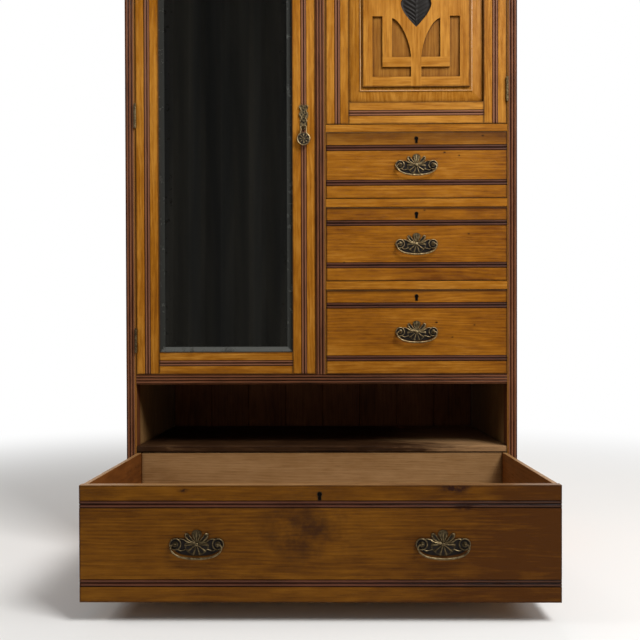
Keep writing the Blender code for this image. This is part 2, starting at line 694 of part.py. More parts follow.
def make_plate(name, x, face_y, z, parent):
    """Brass plate on a drawer front, with a bored post at each end for the bail."""
    back = face_y - SEAT
    solid = flat_plate(name, handle_plate_outline(), (x, back - PLATE_THICK / 2, z), parent)
    tip = back - PLATE_THICK - HANDLE_POST_LENGTH
    pivot_y = back - PLATE_THICK - HANDLE_AXIS_PROUD
    for side, word in ((-1, "left"), (1, "right")):
        at = (x + side * HANDLE_POST, z)
        mesh = cylinder_data(f"{name}_{word}", HANDLE_POST_RADIUS, tip, back - PLATE_THICK / 2, "Y", at, 10)
        boolean(solid, helper(f"{name}_{word}", mesh, parent), "UNION")
    reach = HANDLE_POST + 2 * HANDLE_POST_RADIUS
    for side, word in ((-1, "left"), (1, "right")):
        span = sorted((x + side * (HANDLE_POST - 2 * HANDLE_POST_RADIUS), x + side * reach))
        hole = cylinder_data(f"{name}_{word}_hole", BAIL_RADIUS + PIVOT_GAP, *span, "X", (pivot_y, z), 8)
        boolean(solid, helper(f"{name}_{word}_hole", hole, parent), "DIFFERENCE")
    return pivot_y


def as_mesh(obj, parent):
    """Put a mesh of the same shape in a curve's place, so that it can be joined and cut."""
    bpy.context.view_layer.update()
    graph = bpy.context.evaluated_depsgraph_get()
    mesh = bpy.data.meshes.new_from_object(obj.evaluated_get(graph))
    mesh.transform(obj.rotation_euler.to_matrix().to_4x4())
    work = bmesh.new()
    work.from_mesh(mesh)
    bmesh.ops.remove_doubles(work, verts=work.verts, dist=1e-6)
    bmesh.ops.recalc_face_normals(work, faces=work.faces)
    work.to_mesh(mesh)
    work.free()
    name, place, curve = obj.name, obj.location.copy(), obj.data
    bpy.data.objects.remove(obj, do_unlink=True)
    bpy.data.curves.remove(curve)
    return add_object(name, mesh, "brass", parent, place)


def flat_plate(name, outline, place, parent):
    """Upright brass plate, as a mesh."""
    curve = flat_curve(name, [outline], PLATE_THICK)
    return as_mesh(stand_up(add_object(name, curve, "brass", parent, place)), parent)


def bail_route():
    """The bail's path seen from the front, from inside the left post round to the right one."""
    start, wide, hang = HANDLE_POST - HANDLE_POST_RADIUS, BAIL_WIDEST, BAIL_HANG
    half = [(start, 0.0), (HANDLE_POST + 1.2 * HANDLE_POST_RADIUS, 0.0)]
    half += [(wide - 0.0022, -0.05 * hang), (wide, -0.20 * hang), (0.97 * wide, -0.40 * hang)]
    half += [(0.87 * wide, -0.62 * hang), (0.68 * wide, -0.80 * hang), (0.45 * wide, -0.92 * hang)]
    half += [(0.22 * wide, -0.985 * hang)]
    return [(-x, z) for x, z in half] + [(0.0, -hang)] + [(x, z) for x, z in reversed(half)]


def tube_curve(name, route, radius, cyclic=False):
    curve = bpy.data.curves.new(name, "CURVE")
    curve.dimensions = "3D"
    curve.bevel_depth = radius
    curve.bevel_resolution = BAIL_SIDES
    curve.use_fill_caps = True
    spline = curve.splines.new("POLY")
    spline.points.add(len(route) - 1)
    for point, (x, z) in zip(spline.points, route):
        point.co = (x, 0.0, z, 1.0)
    spline.use_cyclic_u = cyclic
    return curve


def make_handle(prefix, x, face_y, z, parent):
    """Plate and swinging bail on a drawer front."""
    pivot_y = make_plate(f"{prefix}_plate", x, face_y, z, parent)
    curve = tube_curve(f"{prefix}_bail", bail_route(), BAIL_RADIUS)
    add_object(f"{prefix}_bail", curve, "brass", parent, (x, pivot_y, z))


def drop_plate_outline():
    """Narrow plate with a waist and a point at each end."""
    w, h = DROP_PLATE_HALF_WIDTH, DROP_PLATE_HALF_HEIGHT
    half = [(0.0, -h), (0.62 * w, -0.80 * h), (0.78 * w, -0.50 * h), (0.52 * w, -0.22 * h)]
    half += [(0.92 * w, 0.02 * h), (w, 0.30 * h), (0.62 * w, 0.52 * h), (0.95 * w, 0.76 * h)]
    half += [(0.55 * w, 0.94 * h), (0.0, h)]
    return smooth_outline(half)


def drop_route():
    """Closed loop of the drop: a bar through the lug, two arms and a ring round the disc."""
    bend = 3
    centre = -DROP_LENGTH
    points = [(DROP_ARM_HALF * k / bend, 0.0) for k in range(-bend + 1, bend)]
    points += [(DROP_ARM_HALF, -0.06 * DROP_LENGTH), (0.92 * DROP_ARM_HALF, -0.28 * DROP_LENGTH)]
    start = math.radians(62)
    steps = 2 * CURVE_STEPS
    for i in range(steps + 1):
        turn = start - (math.pi + 2 * start) * i / steps
        points.append((DROP_RING_RADIUS * math.cos(turn), centre + DROP_RING_RADIUS * math.sin(turn)))
    points += [(-0.92 * DROP_ARM_HALF, -0.28 * DROP_LENGTH), (-DROP_ARM_HALF, -0.06 * DROP_LENGTH)]
    return points


def make_drop_handle(x, z, door):
    """Plate with a bored lug, and the drop that hangs from it."""
    back = -SEAT
    plate = flat_plate("drop_plate", drop_plate_outline(), (x, back - PLATE_THICK / 2, z), door)
    axis_y = back - PLATE_THICK - DROP_AXIS_PROUD
    axis_z = z - DROP_LUG_BELOW
    half = DROP_LUG_WIDTH / 2
    eye = cylinder_data("drop_eye", DROP_LUG_RADIUS, x - half, x + half, "X", (axis_y, axis_z), 12)
    boolean(plate, helper("drop_eye", eye, door), "UNION")
    neck = box_data(
        "drop_neck",
        (x - half, axis_y + DROP_TUBE, axis_z - DROP_LUG_RADIUS / 2),
        (x + half, back - PLATE_THICK / 2, axis_z + DROP_LUG_RADIUS / 2),
    )
    boolean(plate, helper("drop_neck", neck, door), "UNION")
    bore = cylinder_data("drop_bore", DROP_TUBE + 2 * PIVOT_GAP, x - 2 * half, x + 2 * half, "X", (axis_y, axis_z), 8)
    boolean(plate, helper("drop_bore", bore, door), "DIFFERENCE")
    loop = tube_curve("drop_ring", drop_route(), DROP_TUBE, cyclic=True)
    ring = as_mesh(add_object("drop_ring", loop, "brass", door, (x, axis_y, axis_z)), door)
    span = (axis_y - DROP_DISC_THICK / 2, axis_y + DROP_DISC_THICK / 2)
    centre = (x, axis_z - DROP_LENGTH)
    disc = cylinder_data("drop_disc", DROP_RING_RADIUS, *span, "Y", centre, 20)
    boolean(ring, helper("drop_disc", disc, door), "UNION")


def front_outline(face_y, bottom, top, band_edge):
    """Drawer front in section: a reed band near the top edge and one near the bottom."""
    bands = [(bottom + band_edge, BAND_REEDS), (top - band_edge - BAND_WIDTH, BAND_REEDS)]
    outline = [(face_y + sink, z) for z, sink in reeded_line(bottom, top, bands)]
    return outline + [(face_y + FRONT_THICK, top), (face_y + FRONT_THICK, bottom)]


def make_short_drawer(number, opening_bottom, height):
    """One short drawer: reeded front, dovetailed box and handle."""
    name = f"drawer_{number}"
    left, right = CENTRE_EDGE + DRAWER_GAP, INNER - DRAWER_GAP
    bottom = opening_bottom + DRAWER_GAP
    top = bottom + height
    body = add_empty(name, ((left + right) / 2, 0, bottom))
    prism(f"{name}_front", front_outline(0.0, bottom, top, SHORT_BAND_EDGE), "X", left, right, "ash", body)
    start = FRONT_THICK + SEAT
    low = (left + DRAWER_GAP, start, opening_bottom + RUN)
    high = (right - DRAWER_GAP, SHORT_LENGTH, top - DRAWER_SIDE)
    tray = board(f"{name}_box", low, high, "inside", body)
    hollow_low = (low[0] + DRAWER_SIDE, start - DRAWER_SIDE, low[2] + DRAWER_BOTTOM_LIFT + DRAWER_BOTTOM)
    hollow_high = (high[0] - DRAWER_SIDE, SHORT_LENGTH - DRAWER_BACK, high[2] + DRAWER_SIDE)
    hollow = helper(f"{name}_hollow", box_data(f"{name}_hollow", hollow_low, hollow_high), body)
    boolean(tray, hollow, "DIFFERENCE")
    make_handle(name, (left + right) / 2, 0.0, (bottom + top) / 2, body)


def make_short_shelf(number, bottom, rail):
    """Rail over a drawer with the dust board behind it, in one."""
    top = bottom + rail
    behind = BACK_FACE - SEAT
    outline = [(0.0, bottom), (0.0, top), (behind, top), (behind, top - SHORT_SHELF_THICK)]
    outline += [(SHORT_RAIL_DEPTH, top - SHORT_SHELF_THICK), (SHORT_RAIL_DEPTH, bottom)]
    left, right = CENTRE_EDGE + SEAT, INNER - SEAT
    soften(prism(f"drawer_shelf_{number}", outline, "X", left, right, "ash"))


def make_short_drawers():
    """The three drawers and their shelves, stacked up from the carcass floor."""
    level = BAY_BOTTOM
    for number in (3, 2, 1):
        height, rail = SHORT_FRONTS[number - 1], SHORT_RAILS[number - 1]
        make_short_drawer(number, level, height)
        level += height + 2 * DRAWER_GAP
        make_short_shelf(number, level, rail)
        level += rail


def make_base_drawer():
    """Wide drawer made in its closed place, then pulled out on its empty."""
    left, right = -INNER + DRAWER_GAP, INNER - DRAWER_GAP
    bottom = PLINTH_HEIGHT + DRAWER_GAP
    top = bottom + BASE_FRONT
    body = add_empty("base_drawer", (0, 0, bottom))
    outline = front_outline(0.0, bottom, top, BASE_BAND_EDGE)
    prism("base_drawer_front", outline, "X", left, right, "ash", body)
    start = FRONT_THICK + SEAT
    run = PLINTH_HEIGHT + RUN
    rim = top - SIDE_DROP
    board("base_drawer_left", (left, start, run), (left + DRAWER_SIDE, BASE_LENGTH, rim), "inside", body)
    board("base_drawer_right", (right - DRAWER_SIDE, start, run), (right, BASE_LENGTH, rim), "inside", body)
    inner_left, inner_right = left + DRAWER_SIDE + SEAT, right - DRAWER_SIDE - SEAT
    floor = bottom + DRAWER_BOTTOM_LIFT
    back_start = BASE_LENGTH - DRAWER_BACK
    low = (inner_left, back_start, floor + DRAWER_BOTTOM + SEAT)
    board("base_drawer_back", low, (inner_right, BASE_LENGTH, rim), "inside", body)
    low = (inner_left, start, floor)
    board("base_drawer_bottom", low, (inner_right, BASE_LENGTH, floor + DRAWER_BOTTOM), "inside", body)
    middle = (bottom + top) / 2
    make_handle("base_left", -HANDLE_SPREAD, 0.0, middle, body)
    make_handle("base_right", HANDLE_SPREAD, 0.0, middle, body)
    body.location.y -= BASE_LENGTH - BASE_STAY


def main():
    clear_scene()
    make_plinth()
    make_side("left_side", -HALF, -INNER)
    make_side("right_side", HALF, INNER)
    make_post("left_post", -HALF, -INNER)
    make_post("right_post", INNER, HALF)
    make_boards()
    make_partition()
    make_back()
    make_cornice()
    make_hanging_rail()
    make_mirror_door()
    make_cupboard_door()
    make_short_drawers()
    make_base_drawer()


main()
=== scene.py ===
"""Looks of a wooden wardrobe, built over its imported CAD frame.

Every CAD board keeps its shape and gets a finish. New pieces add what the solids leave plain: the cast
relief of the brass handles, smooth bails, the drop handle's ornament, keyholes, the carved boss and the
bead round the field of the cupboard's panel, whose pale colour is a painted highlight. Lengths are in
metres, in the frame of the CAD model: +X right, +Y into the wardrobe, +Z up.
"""

import math
from typing import NamedTuple

import bmesh
import bpy
from bpy.props import FloatProperty, FloatVectorProperty, IntProperty, PointerProperty
from mathutils import Matrix, Vector


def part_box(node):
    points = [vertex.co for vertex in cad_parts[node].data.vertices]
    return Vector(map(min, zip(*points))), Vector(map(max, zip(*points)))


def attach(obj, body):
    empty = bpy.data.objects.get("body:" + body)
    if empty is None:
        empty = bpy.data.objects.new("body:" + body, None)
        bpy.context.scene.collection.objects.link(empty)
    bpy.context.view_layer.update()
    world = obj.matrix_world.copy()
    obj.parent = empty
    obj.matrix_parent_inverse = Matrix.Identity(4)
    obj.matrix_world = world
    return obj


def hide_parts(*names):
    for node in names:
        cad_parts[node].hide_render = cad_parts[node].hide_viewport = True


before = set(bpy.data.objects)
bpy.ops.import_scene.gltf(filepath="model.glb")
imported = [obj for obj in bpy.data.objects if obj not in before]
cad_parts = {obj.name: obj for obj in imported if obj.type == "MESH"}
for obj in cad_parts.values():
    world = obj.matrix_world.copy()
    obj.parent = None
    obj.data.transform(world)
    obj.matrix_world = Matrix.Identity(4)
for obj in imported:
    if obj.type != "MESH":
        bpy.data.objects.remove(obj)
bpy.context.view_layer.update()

bl_info = {
    "name": "Wardrobe looks",
    "version": (1, 0, 0),
    "blender": (4, 5, 0),
    "location": "View3D > Sidebar > Wardrobe",
    "description": "Finishes and fine pieces of a wardrobe with a mirror door and drawers",
    "category": "Object",
}

WHITE = (1.0, 1.0, 1.0)

# Sizes of the solids that the finishes and new pieces follow
REED_WIDTH = 0.0092
BAND_WIDTH = 0.0188
BAND_SHIFT = 0.0003
REED_DEPTH = 0.006
SHORT_BAND_EDGE = 0.039
BASE_BAND_EDGE = 0.037
BASE_RAIL_DEPTH = 0.041
SHELF_LIP = 0.004
PLATE_THICK = 0.0025
POST_INSET = 0.0145
# Level bars of the fret: x span and z span out from its middle
FRET_LEVELS = (((0.016, 0.1355), (0.2255, 0.2600)), ((0.016, 0.1045), (0.1640, 0.1950)))
# A depth behind every piece
FAR_BACK = 1.0
# How far a tone, an upper edge's tone and the dovetails reach past the edge between two faces
TONE_LAP = 0.0005
TOP_LAP = 0.0006
TAIL_LAP = 0.0002
# How far the carved boss and the rubbed bead are let into what carries them
BOSS_SINK = 0.0002
BEAD_SINK = 0.0004

# The drawer that carries each handle
HANDLES = {
    "drawer_1": "drawer_1",
    "drawer_2": "drawer_2",
    "drawer_3": "drawer_3",
    "base_left": "base_drawer",
    "base_right": "base_drawer",
}
SHORT_DRAWERS = ("drawer_1", "drawer_2", "drawer_3")
# Lift of each short drawer's tone, and (height, share) of the painted shadow under its front's upper edge
SHORT_FRONTS = {
    "drawer_1": (-0.02, (0.075, 0.55)),
    "drawer_2": (-0.10, (0.012, 0.92)),
    "drawer_3": (-0.02, (0.012, 0.92)),
}
# Dark specks on the short drawers' fronts, as shares of the width and of the height from above
SPECKS = {
    "drawer_1": [(0.735, 0.357), (0.655, 0.310), (0.866, 0.060)],
    "drawer_2": [(0.789, 0.363), (0.100, 0.752), (0.545, 0.040)],
    "drawer_3": [(0.697, 0.564), (0.610, 0.390), (0.820, 0.420)],
}
# Knocks on the base drawer's front: place on X, distance under the upper edge, half width, half height, share
KNOCKS = (
    (0.324, 0.006, 0.048, 0.020, 1.6),
    (0.345, 0.052, 0.032, 0.014, 1.5),
    (-0.327, 0.013, 0.020, 0.008, 1.3),
)
MARK_DEPTH = 0.06
SPECK_HALF = (0.0065, MARK_DEPTH, 0.0042)

SHADES = {"dark": "Dark lines", "middle": "Main colour", "light": "Palest parts"}
# Place where each wood shows, and its dark, middle and light colour
WOODS = {
    "ash": ("polished ash", (0.135, 0.038, 0.002), (0.315, 0.112, 0.006), (0.530, 0.232, 0.032)),
    # The base drawer front's darker ash is partly painted shade, for the lesser light on the lowest drawer
    "dim_ash": ("base drawer's front", (0.065, 0.019, 0.0005), (0.155, 0.055, 0.002), (0.235, 0.092, 0.006)),
    "stain": ("red-brown stain", (0.022, 0.006, 0.002), (0.125, 0.040, 0.014), (0.200, 0.074, 0.030)),
    "bare": ("bare inner wood", (0.160, 0.075, 0.026), (0.290, 0.150, 0.055), (0.400, 0.225, 0.095)),
    "warm": ("drawers' sides", (0.060, 0.016, 0.003), (0.160, 0.050, 0.009), (0.240, 0.085, 0.020)),
    "aged": ("back's boards", (0.060, 0.017, 0.004), (0.190, 0.062, 0.017), (0.300, 0.110, 0.034)),
    "band": ("drawers' reed bands", (0.012, 0.003, 0.001), (0.066, 0.019, 0.009), (0.120, 0.040, 0.018)),
    "inner": ("sides' inner faces", (0.100, 0.046, 0.014), (0.230, 0.120, 0.042), (0.340, 0.190, 0.075)),
    # The recess floor's dark colours are painted shade inside the recess; its light colour is painted light
    # on the floor's right end
    "dust": ("recess floor", (0.012, 0.005, 0.002), (0.050, 0.022, 0.009), (0.340, 0.190, 0.085)),
}
# Values of the figure at which the dark, middle and light colour stand
TONE_STOPS = (0.26, 0.48, 0.70)
# Layers of the figure: scale along the grain, scale across it, detail, weight
FIGURE_LAYERS = {
    "fibre": (11.0, 260.0, 4.0, 0.36),
    "streak": (2.6, 62.0, 4.0, 0.12),
    "mottle": (17.0, 44.0, 4.0, 0.28),
}
# Slow changes of the figure, and its pores: scale along the grain, scale across it, detail
WAVER = (1.3, 6.0, 3.0)
CLOUD = (3.2, 9.5, 3.0)
PORES = (26.0, 800.0, 2.0)
# Weights of the rings, of the slow changes and of one board against another
RING_WEIGHT = 0.06
WAVER_WEIGHT = 0.30
CLOUD_WEIGHT = 0.34
BOARD_WEIGHT = 0.07
# Move of the figure from one board to the next
BOARD_STEP = (3.1, 4.7, 2.3)

# Material slots of the cast handles
BRIGHT = 0
# The black slot is the blackened ground, and also painted shade in the pierced gaps, slots and holes
BLACK_AND_SHADE = 1
DULL = 2
# Depths of the casting, from the face of its plate
RELIEF_OUT = -0.0010
PIERCED_OUT = -0.0003

# Name, place, aim, size, and the setting and share of its power of each lamp
LAMPS = (
    ("key", (2.1, -2.2, 3.9), (0.0, 0.0, 1.2), 1.7, "key_power", 1.0),
    ("left", (-4.2, -0.6, 2.6), (0.0, 0.2, 1.0), 1.6, "fill_power", 1.5),
    ("right", (4.2, -0.6, 2.6), (0.0, 0.2, 1.0), 1.6, "fill_power", 1.0),
    ("back", (0.6, 4.4, 3.0), (0.0, 0.5, 1.0), 1.8, "fill_power", 1.6),
)


def colour_property(name, description, default):
    return FloatVectorProperty(
        name=name, description=description, default=default, subtype="COLOR", size=3, min=0.0, max=1.0
    )


def length_property(name, description, default):
    return FloatProperty(name=name, description=description, default=default, unit="LENGTH", precision=4)


def angle_property(name, description, degrees):
    return FloatProperty(name=name, description=description, default=math.radians(degrees), subtype="ANGLE")


def power_property(name, description, default):
    return FloatProperty(name=name, description=description, default=default, unit="POWER")


def number_property(name, description, default, **limits):
    return FloatProperty(name=name, description=description, default=default, **limits)


def wood_colours():
    """One colour property for each shade of each wood."""
    colours = {}
    for kind, (where, *shades) in WOODS.items():
        for (shade, part), colour in zip(SHADES.items(), shades):
            name = f"{where.capitalize()}, {shade}"
            colours[f"{kind}_{shade}"] = colour_property(name, f"{part} of the {where}", colour)
    return colours


class WoodSettings(bpy.types.PropertyGroup):
    """Colours and grain of the wood. The shades of each wood are added below."""

    # The crown colour is a painted sheen on the crowns of the reeds
    crown: colour_property("Reed crowns", "Rubbed crowns of the reeds", (0.290, 0.142, 0.084))
    # The bead colour is a painted highlight along the bead
    bead: colour_property("Rubbed bead", "Rubbed bead round the panel's field", (0.580, 0.315, 0.130))
    ring_scale: number_property("Ring scale", "How close the growth rings lie", 42.0, min=1.0)
    ring_lean: number_property("Ring lean", "Lean of the trunk, which draws the arches", 0.018)
    board_half: length_property("Half board", "Half of the width over which the figure repeats", 0.115)
    tail_length: length_property("Tail length", "Length of the dovetails in the drawer fronts", 0.015)
    tail_pitch: length_property("Tail pitch", "Height from one dovetail to the next", 0.062)
    edge_reach: length_property("Dark edge", "Width of the darkened strip along a board's edges", 0.0055)
    rubbed_edge: length_property("Rubbed edge", "Width of the rubbed inner edge of a post", 0.0042)
    # The corner share is painted shade in the corners and grooves of the wood
    corner_shade: number_property("Grime", "Darkening in corners and grooves", 0.60, min=0.0, max=1.0)


WoodSettings.__annotations__.update(wood_colours())


class MetalSettings(bpy.types.PropertyGroup):
    """Brass, blackened metal and mirror."""

    brass_bright: colour_property("Brass, rubbed", "Rubbed high parts of the brass", (0.44, 0.33, 0.17))
    brass_dull: colour_property("Brass, dull", "Aged brass", (0.17, 0.12, 0.060))
    brass_dark: colour_property("Brass, dark", "Hollows of the brass", (0.018, 0.012, 0.007))
    black_high: colour_property("Black, high", "High parts of the blackened ground", (0.018, 0.012, 0.009))
    black_low: colour_property("Black, low", "Low parts of the blackened ground", (0.002, 0.0012, 0.001))
    boss_rubbed: colour_property("Boss, rubbed", "Rubbed ridges of the carved boss", (0.021, 0.017, 0.014))
    boss_dull: colour_property("Boss, dull", "Dull ridges of the carved boss", (0.004, 0.0032, 0.0027))
    boss_dark: colour_property("Boss, dark", "Hollows of the carved boss", (0.0015, 0.0012, 0.001))
    silver: colour_property("Silvering", "Tint of the mirror", (0.58, 0.60, 0.57))
    silver_loss: colour_property("Lost silvering", "Spots where the silvering has gone", (0.06, 0.055, 0.045))
    # The bevel tint is a painted reflection in the bevel
    bevel_reflection: colour_property("Bevel tint", "Colour of the mirror's bevel", (0.100, 0.102, 0.092))
    bevel_width: length_property("Bevel", "Width of the dimmer bevel round the mirror", 0.0262)


class HandleSettings(bpy.types.PropertyGroup):
    """Cast relief of the handles."""

    fan_ribs: IntProperty(name="Ribs", description="Ribs in the lower half of the fan", default=6, min=3)
    rib_radius: length_property("Rib radius", "Radius of a rib at its outer end", 0.0021)
    rope_radius: length_property("Strap radius", "Radius of the straps and scrolls", 0.0014)
    boss_radius: length_property("Boss radius", "Radius of the ring round each post", 0.0130)
    neck_radius: length_property("Neck radius", "Radius of each post's neck", 0.0031)
    ball_radius: length_property("Ball radius", "Radius of each post's round end", 0.0050)
    bead_radius: length_property("Bead radius", "Radius of the beads on the bail", 0.0026)
    bead_place: length_property("Bead place", "Distance of each bead from the bail's middle", 0.0110)
    petals: IntProperty(name="Petals", description="Petals of the drop handle's rosette", default=8, min=4)
    rosette_thick: length_property("Rosette", "Thickness of the drop handle's rosette", 0.0009)
    rosette_out: length_property("Rosette place", "Distance of the rosette from the ring's middle", 0.0011)
    # The base handles' brightness is painted shade on them
    base_painted_shade: number_property("Base handles", "Brightness of the base drawer's handles", 0.55, min=0.0)


class PanelSettings(bpy.types.PropertyGroup):
    """Carved boss and pale bead, a painted highlight, on the panel of the cupboard door."""

    boss_half_width: length_property("Boss width", "Half of the carved boss's width", 0.046)
    boss_half_height: length_property("Boss height", "Half of the carved boss's height", 0.070)
    boss_rise: length_property("Boss rise", "Height of the boss's carving", 0.0048)
    bead_radius: length_property("Bead radius", "Radius of the rubbed bead", 0.0016)
    bead_beside: length_property("Bead beside", "Distance of the bead from the fret's sides", 0.0068)
    bead_above: length_property("Bead above", "Distance of the bead from the fret's ends", 0.0103)


class KeyholeSettings(bpy.types.PropertyGroup):
    """Keyholes of the drawers."""

    rim_half_width: length_property("Half width", "Half width of the keyhole's rim", 0.0056)
    rim_half_height: length_property("Half height", "Half height of the keyhole's rim", 0.0098)
    rim_thick: length_property("Rim", "Radius of the rim's wire", 0.0008)
    lift: length_property("Lift", "Distance of the rim's middle in front of the drawer", 0.0003)
    short_drop: length_property("Short drop", "Distance under a short drawer's upper edge", 0.024)
    base_drop: length_property("Base drop", "Distance under the base drawer's upper edge", 0.026)


class StageSettings(bpy.types.PropertyGroup):
    """Camera, floor and light."""

    camera_distance: length_property("Distance", "Camera's distance in front of the posts", 2.219)
    camera_height: length_property("Height", "Camera's height over the floor", 0.668)
    camera_side: length_property("Side", "Camera's distance to the right of the middle", 0.020)
    camera_turn: angle_property("Turn", "Camera's turn to the left", 0.61)
    camera_tilt: angle_property("Tilt", "Camera's tilt downwards", 0.526)
    camera_roll: angle_property("Roll", "Camera's roll", -0.157)
    lens: number_property("Lens", "Focal length in millimetres on a 36 mm sensor", 39.98)
    shift: number_property("Shift", "Upward shift of the lens, as a share of the frame", 0.0500)
    floor_reach: length_property("Floor", "Distance of the floor's edges from the middle", 30.0)
    floor_colour: colour_property("Floor colour", "Colour of the floor", (0.84, 0.83, 0.81))
    fade_start: length_property("Fade start", "Distance at which the floor starts to fade into white", 1.6)
    fade_end: length_property("Fade end", "Distance at which the floor is white", 4.0)
    curtain_reach: length_property("Curtain", "Distance of the curtain from the middle", 5.2)
    curtain_height: length_property("Curtain height", "Height of the curtain", 7.5)
    curtain_colour: colour_property(
        "Curtain colour", "Colour of the curtain behind the camera", (0.019, 0.016, 0.012)
    )
    key_power: power_property("Key", "Power of the key lamp", 185.0)
    fill_power: power_property("Fill", "Power of the lamps at the sides and back", 40.0)
    world_light: number_property("Ambient", "Strength of the light from all round", 0.22)


class Shader:
    """Adds and joins the nodes of one material or of the world."""

    def __init__(self, owner):
        owner.use_nodes = True
        self.owner = owner
        self.tree = owner.node_tree
        self.surface = self.tree.nodes.get("Principled BSDF")

    def feed(self, socket, value):
        """Join a socket to another one, or set its own value."""
        if isinstance(value, bpy.types.NodeSocket):
            self.tree.links.new(value, socket)
        elif socket.type == "RGBA":
            socket.default_value = (*value, 1.0)
        else:
            socket.default_value = value

    def add(self, kind, inputs=None, **settings):
        node = self.tree.nodes.new(kind)
        for key, value in settings.items():
            setattr(node, key, value)
        for key, value in (inputs or {}).items():
            self.feed(node.inputs[key], value)
        return node

    def coat(self, inputs):
        """Feed the surface, and give back its material."""
        for key, value in inputs.items():
            self.feed(self.surface.inputs[key], value)
        return self.owner

    def place(self):
        """The place at rest in the frame of the CAD model."""
        return self.add("ShaderNodeTexCoord").outputs["Object"]

    def split(self, vector):
        """X, Y and Z of a vector, by their letters."""
        return self.add("ShaderNodeSeparateXYZ", {0: vector}).outputs

    def combine(self, x, y, z):
        return self.add("ShaderNodeCombineXYZ", {0: x, 1: y, 2: z}).outputs[0]

    def math(self, operation, *values):
        return self.add("ShaderNodeMath", dict(enumerate(values)), operation=operation).outputs[0]

    def vector(self, operation, *values):
        return self.add("ShaderNodeVectorMath", dict(enumerate(values)), operation=operation).outputs[0]

    def length(self, vector):
        return self.add("ShaderNodeVectorMath", {0: vector}, operation="LENGTH").outputs["Value"]

    def fold(self, operation, first, *others):
        """Join any count of values by one operation."""
        for other in others:
            first = self.math(operation, first, other)
        return first

    def product(self, *values):
        return self.fold("MULTIPLY", *values)

    def mix(self, factor, first, second):
        return self.add("ShaderNodeMix", {"Factor": factor, 6: first, 7: second}, data_type="RGBA").outputs[2]

    def ramp(self, factor, stops):
        node = self.add("ShaderNodeValToRGB", {0: factor})
        elements = node.color_ramp.elements
        while len(elements) < len(stops):
            elements.new(0.5)
        for element, (position, colour) in zip(elements, stops):
            element.position = position
            element.color = (*colour, 1.0)
        return node.outputs[0]

    def step(self, factor, low, high):
        """A smooth step from 0 at low to 1 at high."""
        inputs = {"Value": factor, "From Min": low, "From Max": high}
        return self.add("ShaderNodeMapRange", inputs, interpolation_type="SMOOTHSTEP").outputs[0]

    def fade(self, factor, low, high):
        """A smooth fall from 1 at low to 0 at high."""
        return self.math("SUBTRACT", 1.0, self.step(factor, low, high))

    def noise(self, place, scale=1.0, detail=2.0, roughness=0.5):
        inputs = {"Vector": place, "Scale": scale, "Detail": detail, "Roughness": roughness}
        return self.add("ShaderNodeTexNoise", inputs).outputs[0]

    def spans(self, coordinate, spans):
        """1 where the coordinate lies in one of the spans, each (low, high), and 0 elsewhere."""
        inside = []
        for low, high in spans:
            inside.append(self.math("COMPARE", coordinate, (low + high) / 2, (high - low) / 2))
        return self.fold("MAXIMUM", *inside)

    def corners(self, distance, strength):
        """A share that grows towards corners and grooves."""
        node = self.add("ShaderNodeAmbientOcclusion", {"Distance": distance}, samples=6)
        return self.product(self.fade(node.outputs["AO"], 0.25, 0.95), strength)

    def bump(self, height, distance):
        inputs = {"Height": height, "Distance": distance, "Strength": 1.0}
        return self.add("ShaderNodeBump", inputs).outputs[0]


def new_shader(name):
    """Nodes of a new material."""
    return Shader(bpy.data.materials.new(name))


def dimmed(colour, shade):
    return tuple(shade * part for part in colour)


def tone(name):
    """Dark, middle and light colour of one wood, from the settings."""
    wood = bpy.context.scene.wardrobe_wood
    return tuple(getattr(wood, f"{name}_{shade}") for shade in SHADES)


def tone_ramp(shader, factor, name):
    return shader.ramp(factor, tuple(zip(TONE_STOPS, tone(name))))


def grain_axes(shader, place, grain):
    """The place split into along the grain, across the face and into the board."""
    split = shader.split(place)
    return tuple(split[letter] for letter in {"X": "XZY", "Y": "YXZ", "Z": "ZXY"}[grain])


def stretched_noise(shader, axes, along, across, detail):
    """Noise drawn out along the grain."""
    parts = [shader.product(axis, scale) for axis, scale in zip(axes, (along, across, across))]
    return shader.noise(shader.combine(*parts), 1.0, detail, 0.6)


def growth_rings(shader, axes, waver):
    """Rings of a trunk that leans from the board, which its face cuts into lines and arches."""
    wood = bpy.context.scene.wardrobe_wood
    along, across, deep = axes
    folded = shader.math("PINGPONG", across, wood.board_half)
    lean = shader.math("PINGPONG", shader.product(along, wood.ring_lean), 0.06)
    heart = shader.math("ADD", lean, shader.math("PINGPONG", deep, 0.05))
    place = shader.combine(
        0.0,
        shader.math("MULTIPLY_ADD", waver, 0.050, folded),
        shader.math("MULTIPLY_ADD", waver, 0.025, shader.math("ADD", heart, 0.012)),
    )
    inputs = {"Vector": place, "Scale": wood.ring_scale}
    inputs.update({"Distortion": 0.8, "Detail": 2.0, "Detail Scale": 1.5})
    settings = {"wave_type": "RINGS", "rings_direction": "X", "wave_profile": "SIN"}
    return shader.add("ShaderNodeTexWave", inputs, **settings).outputs[1]


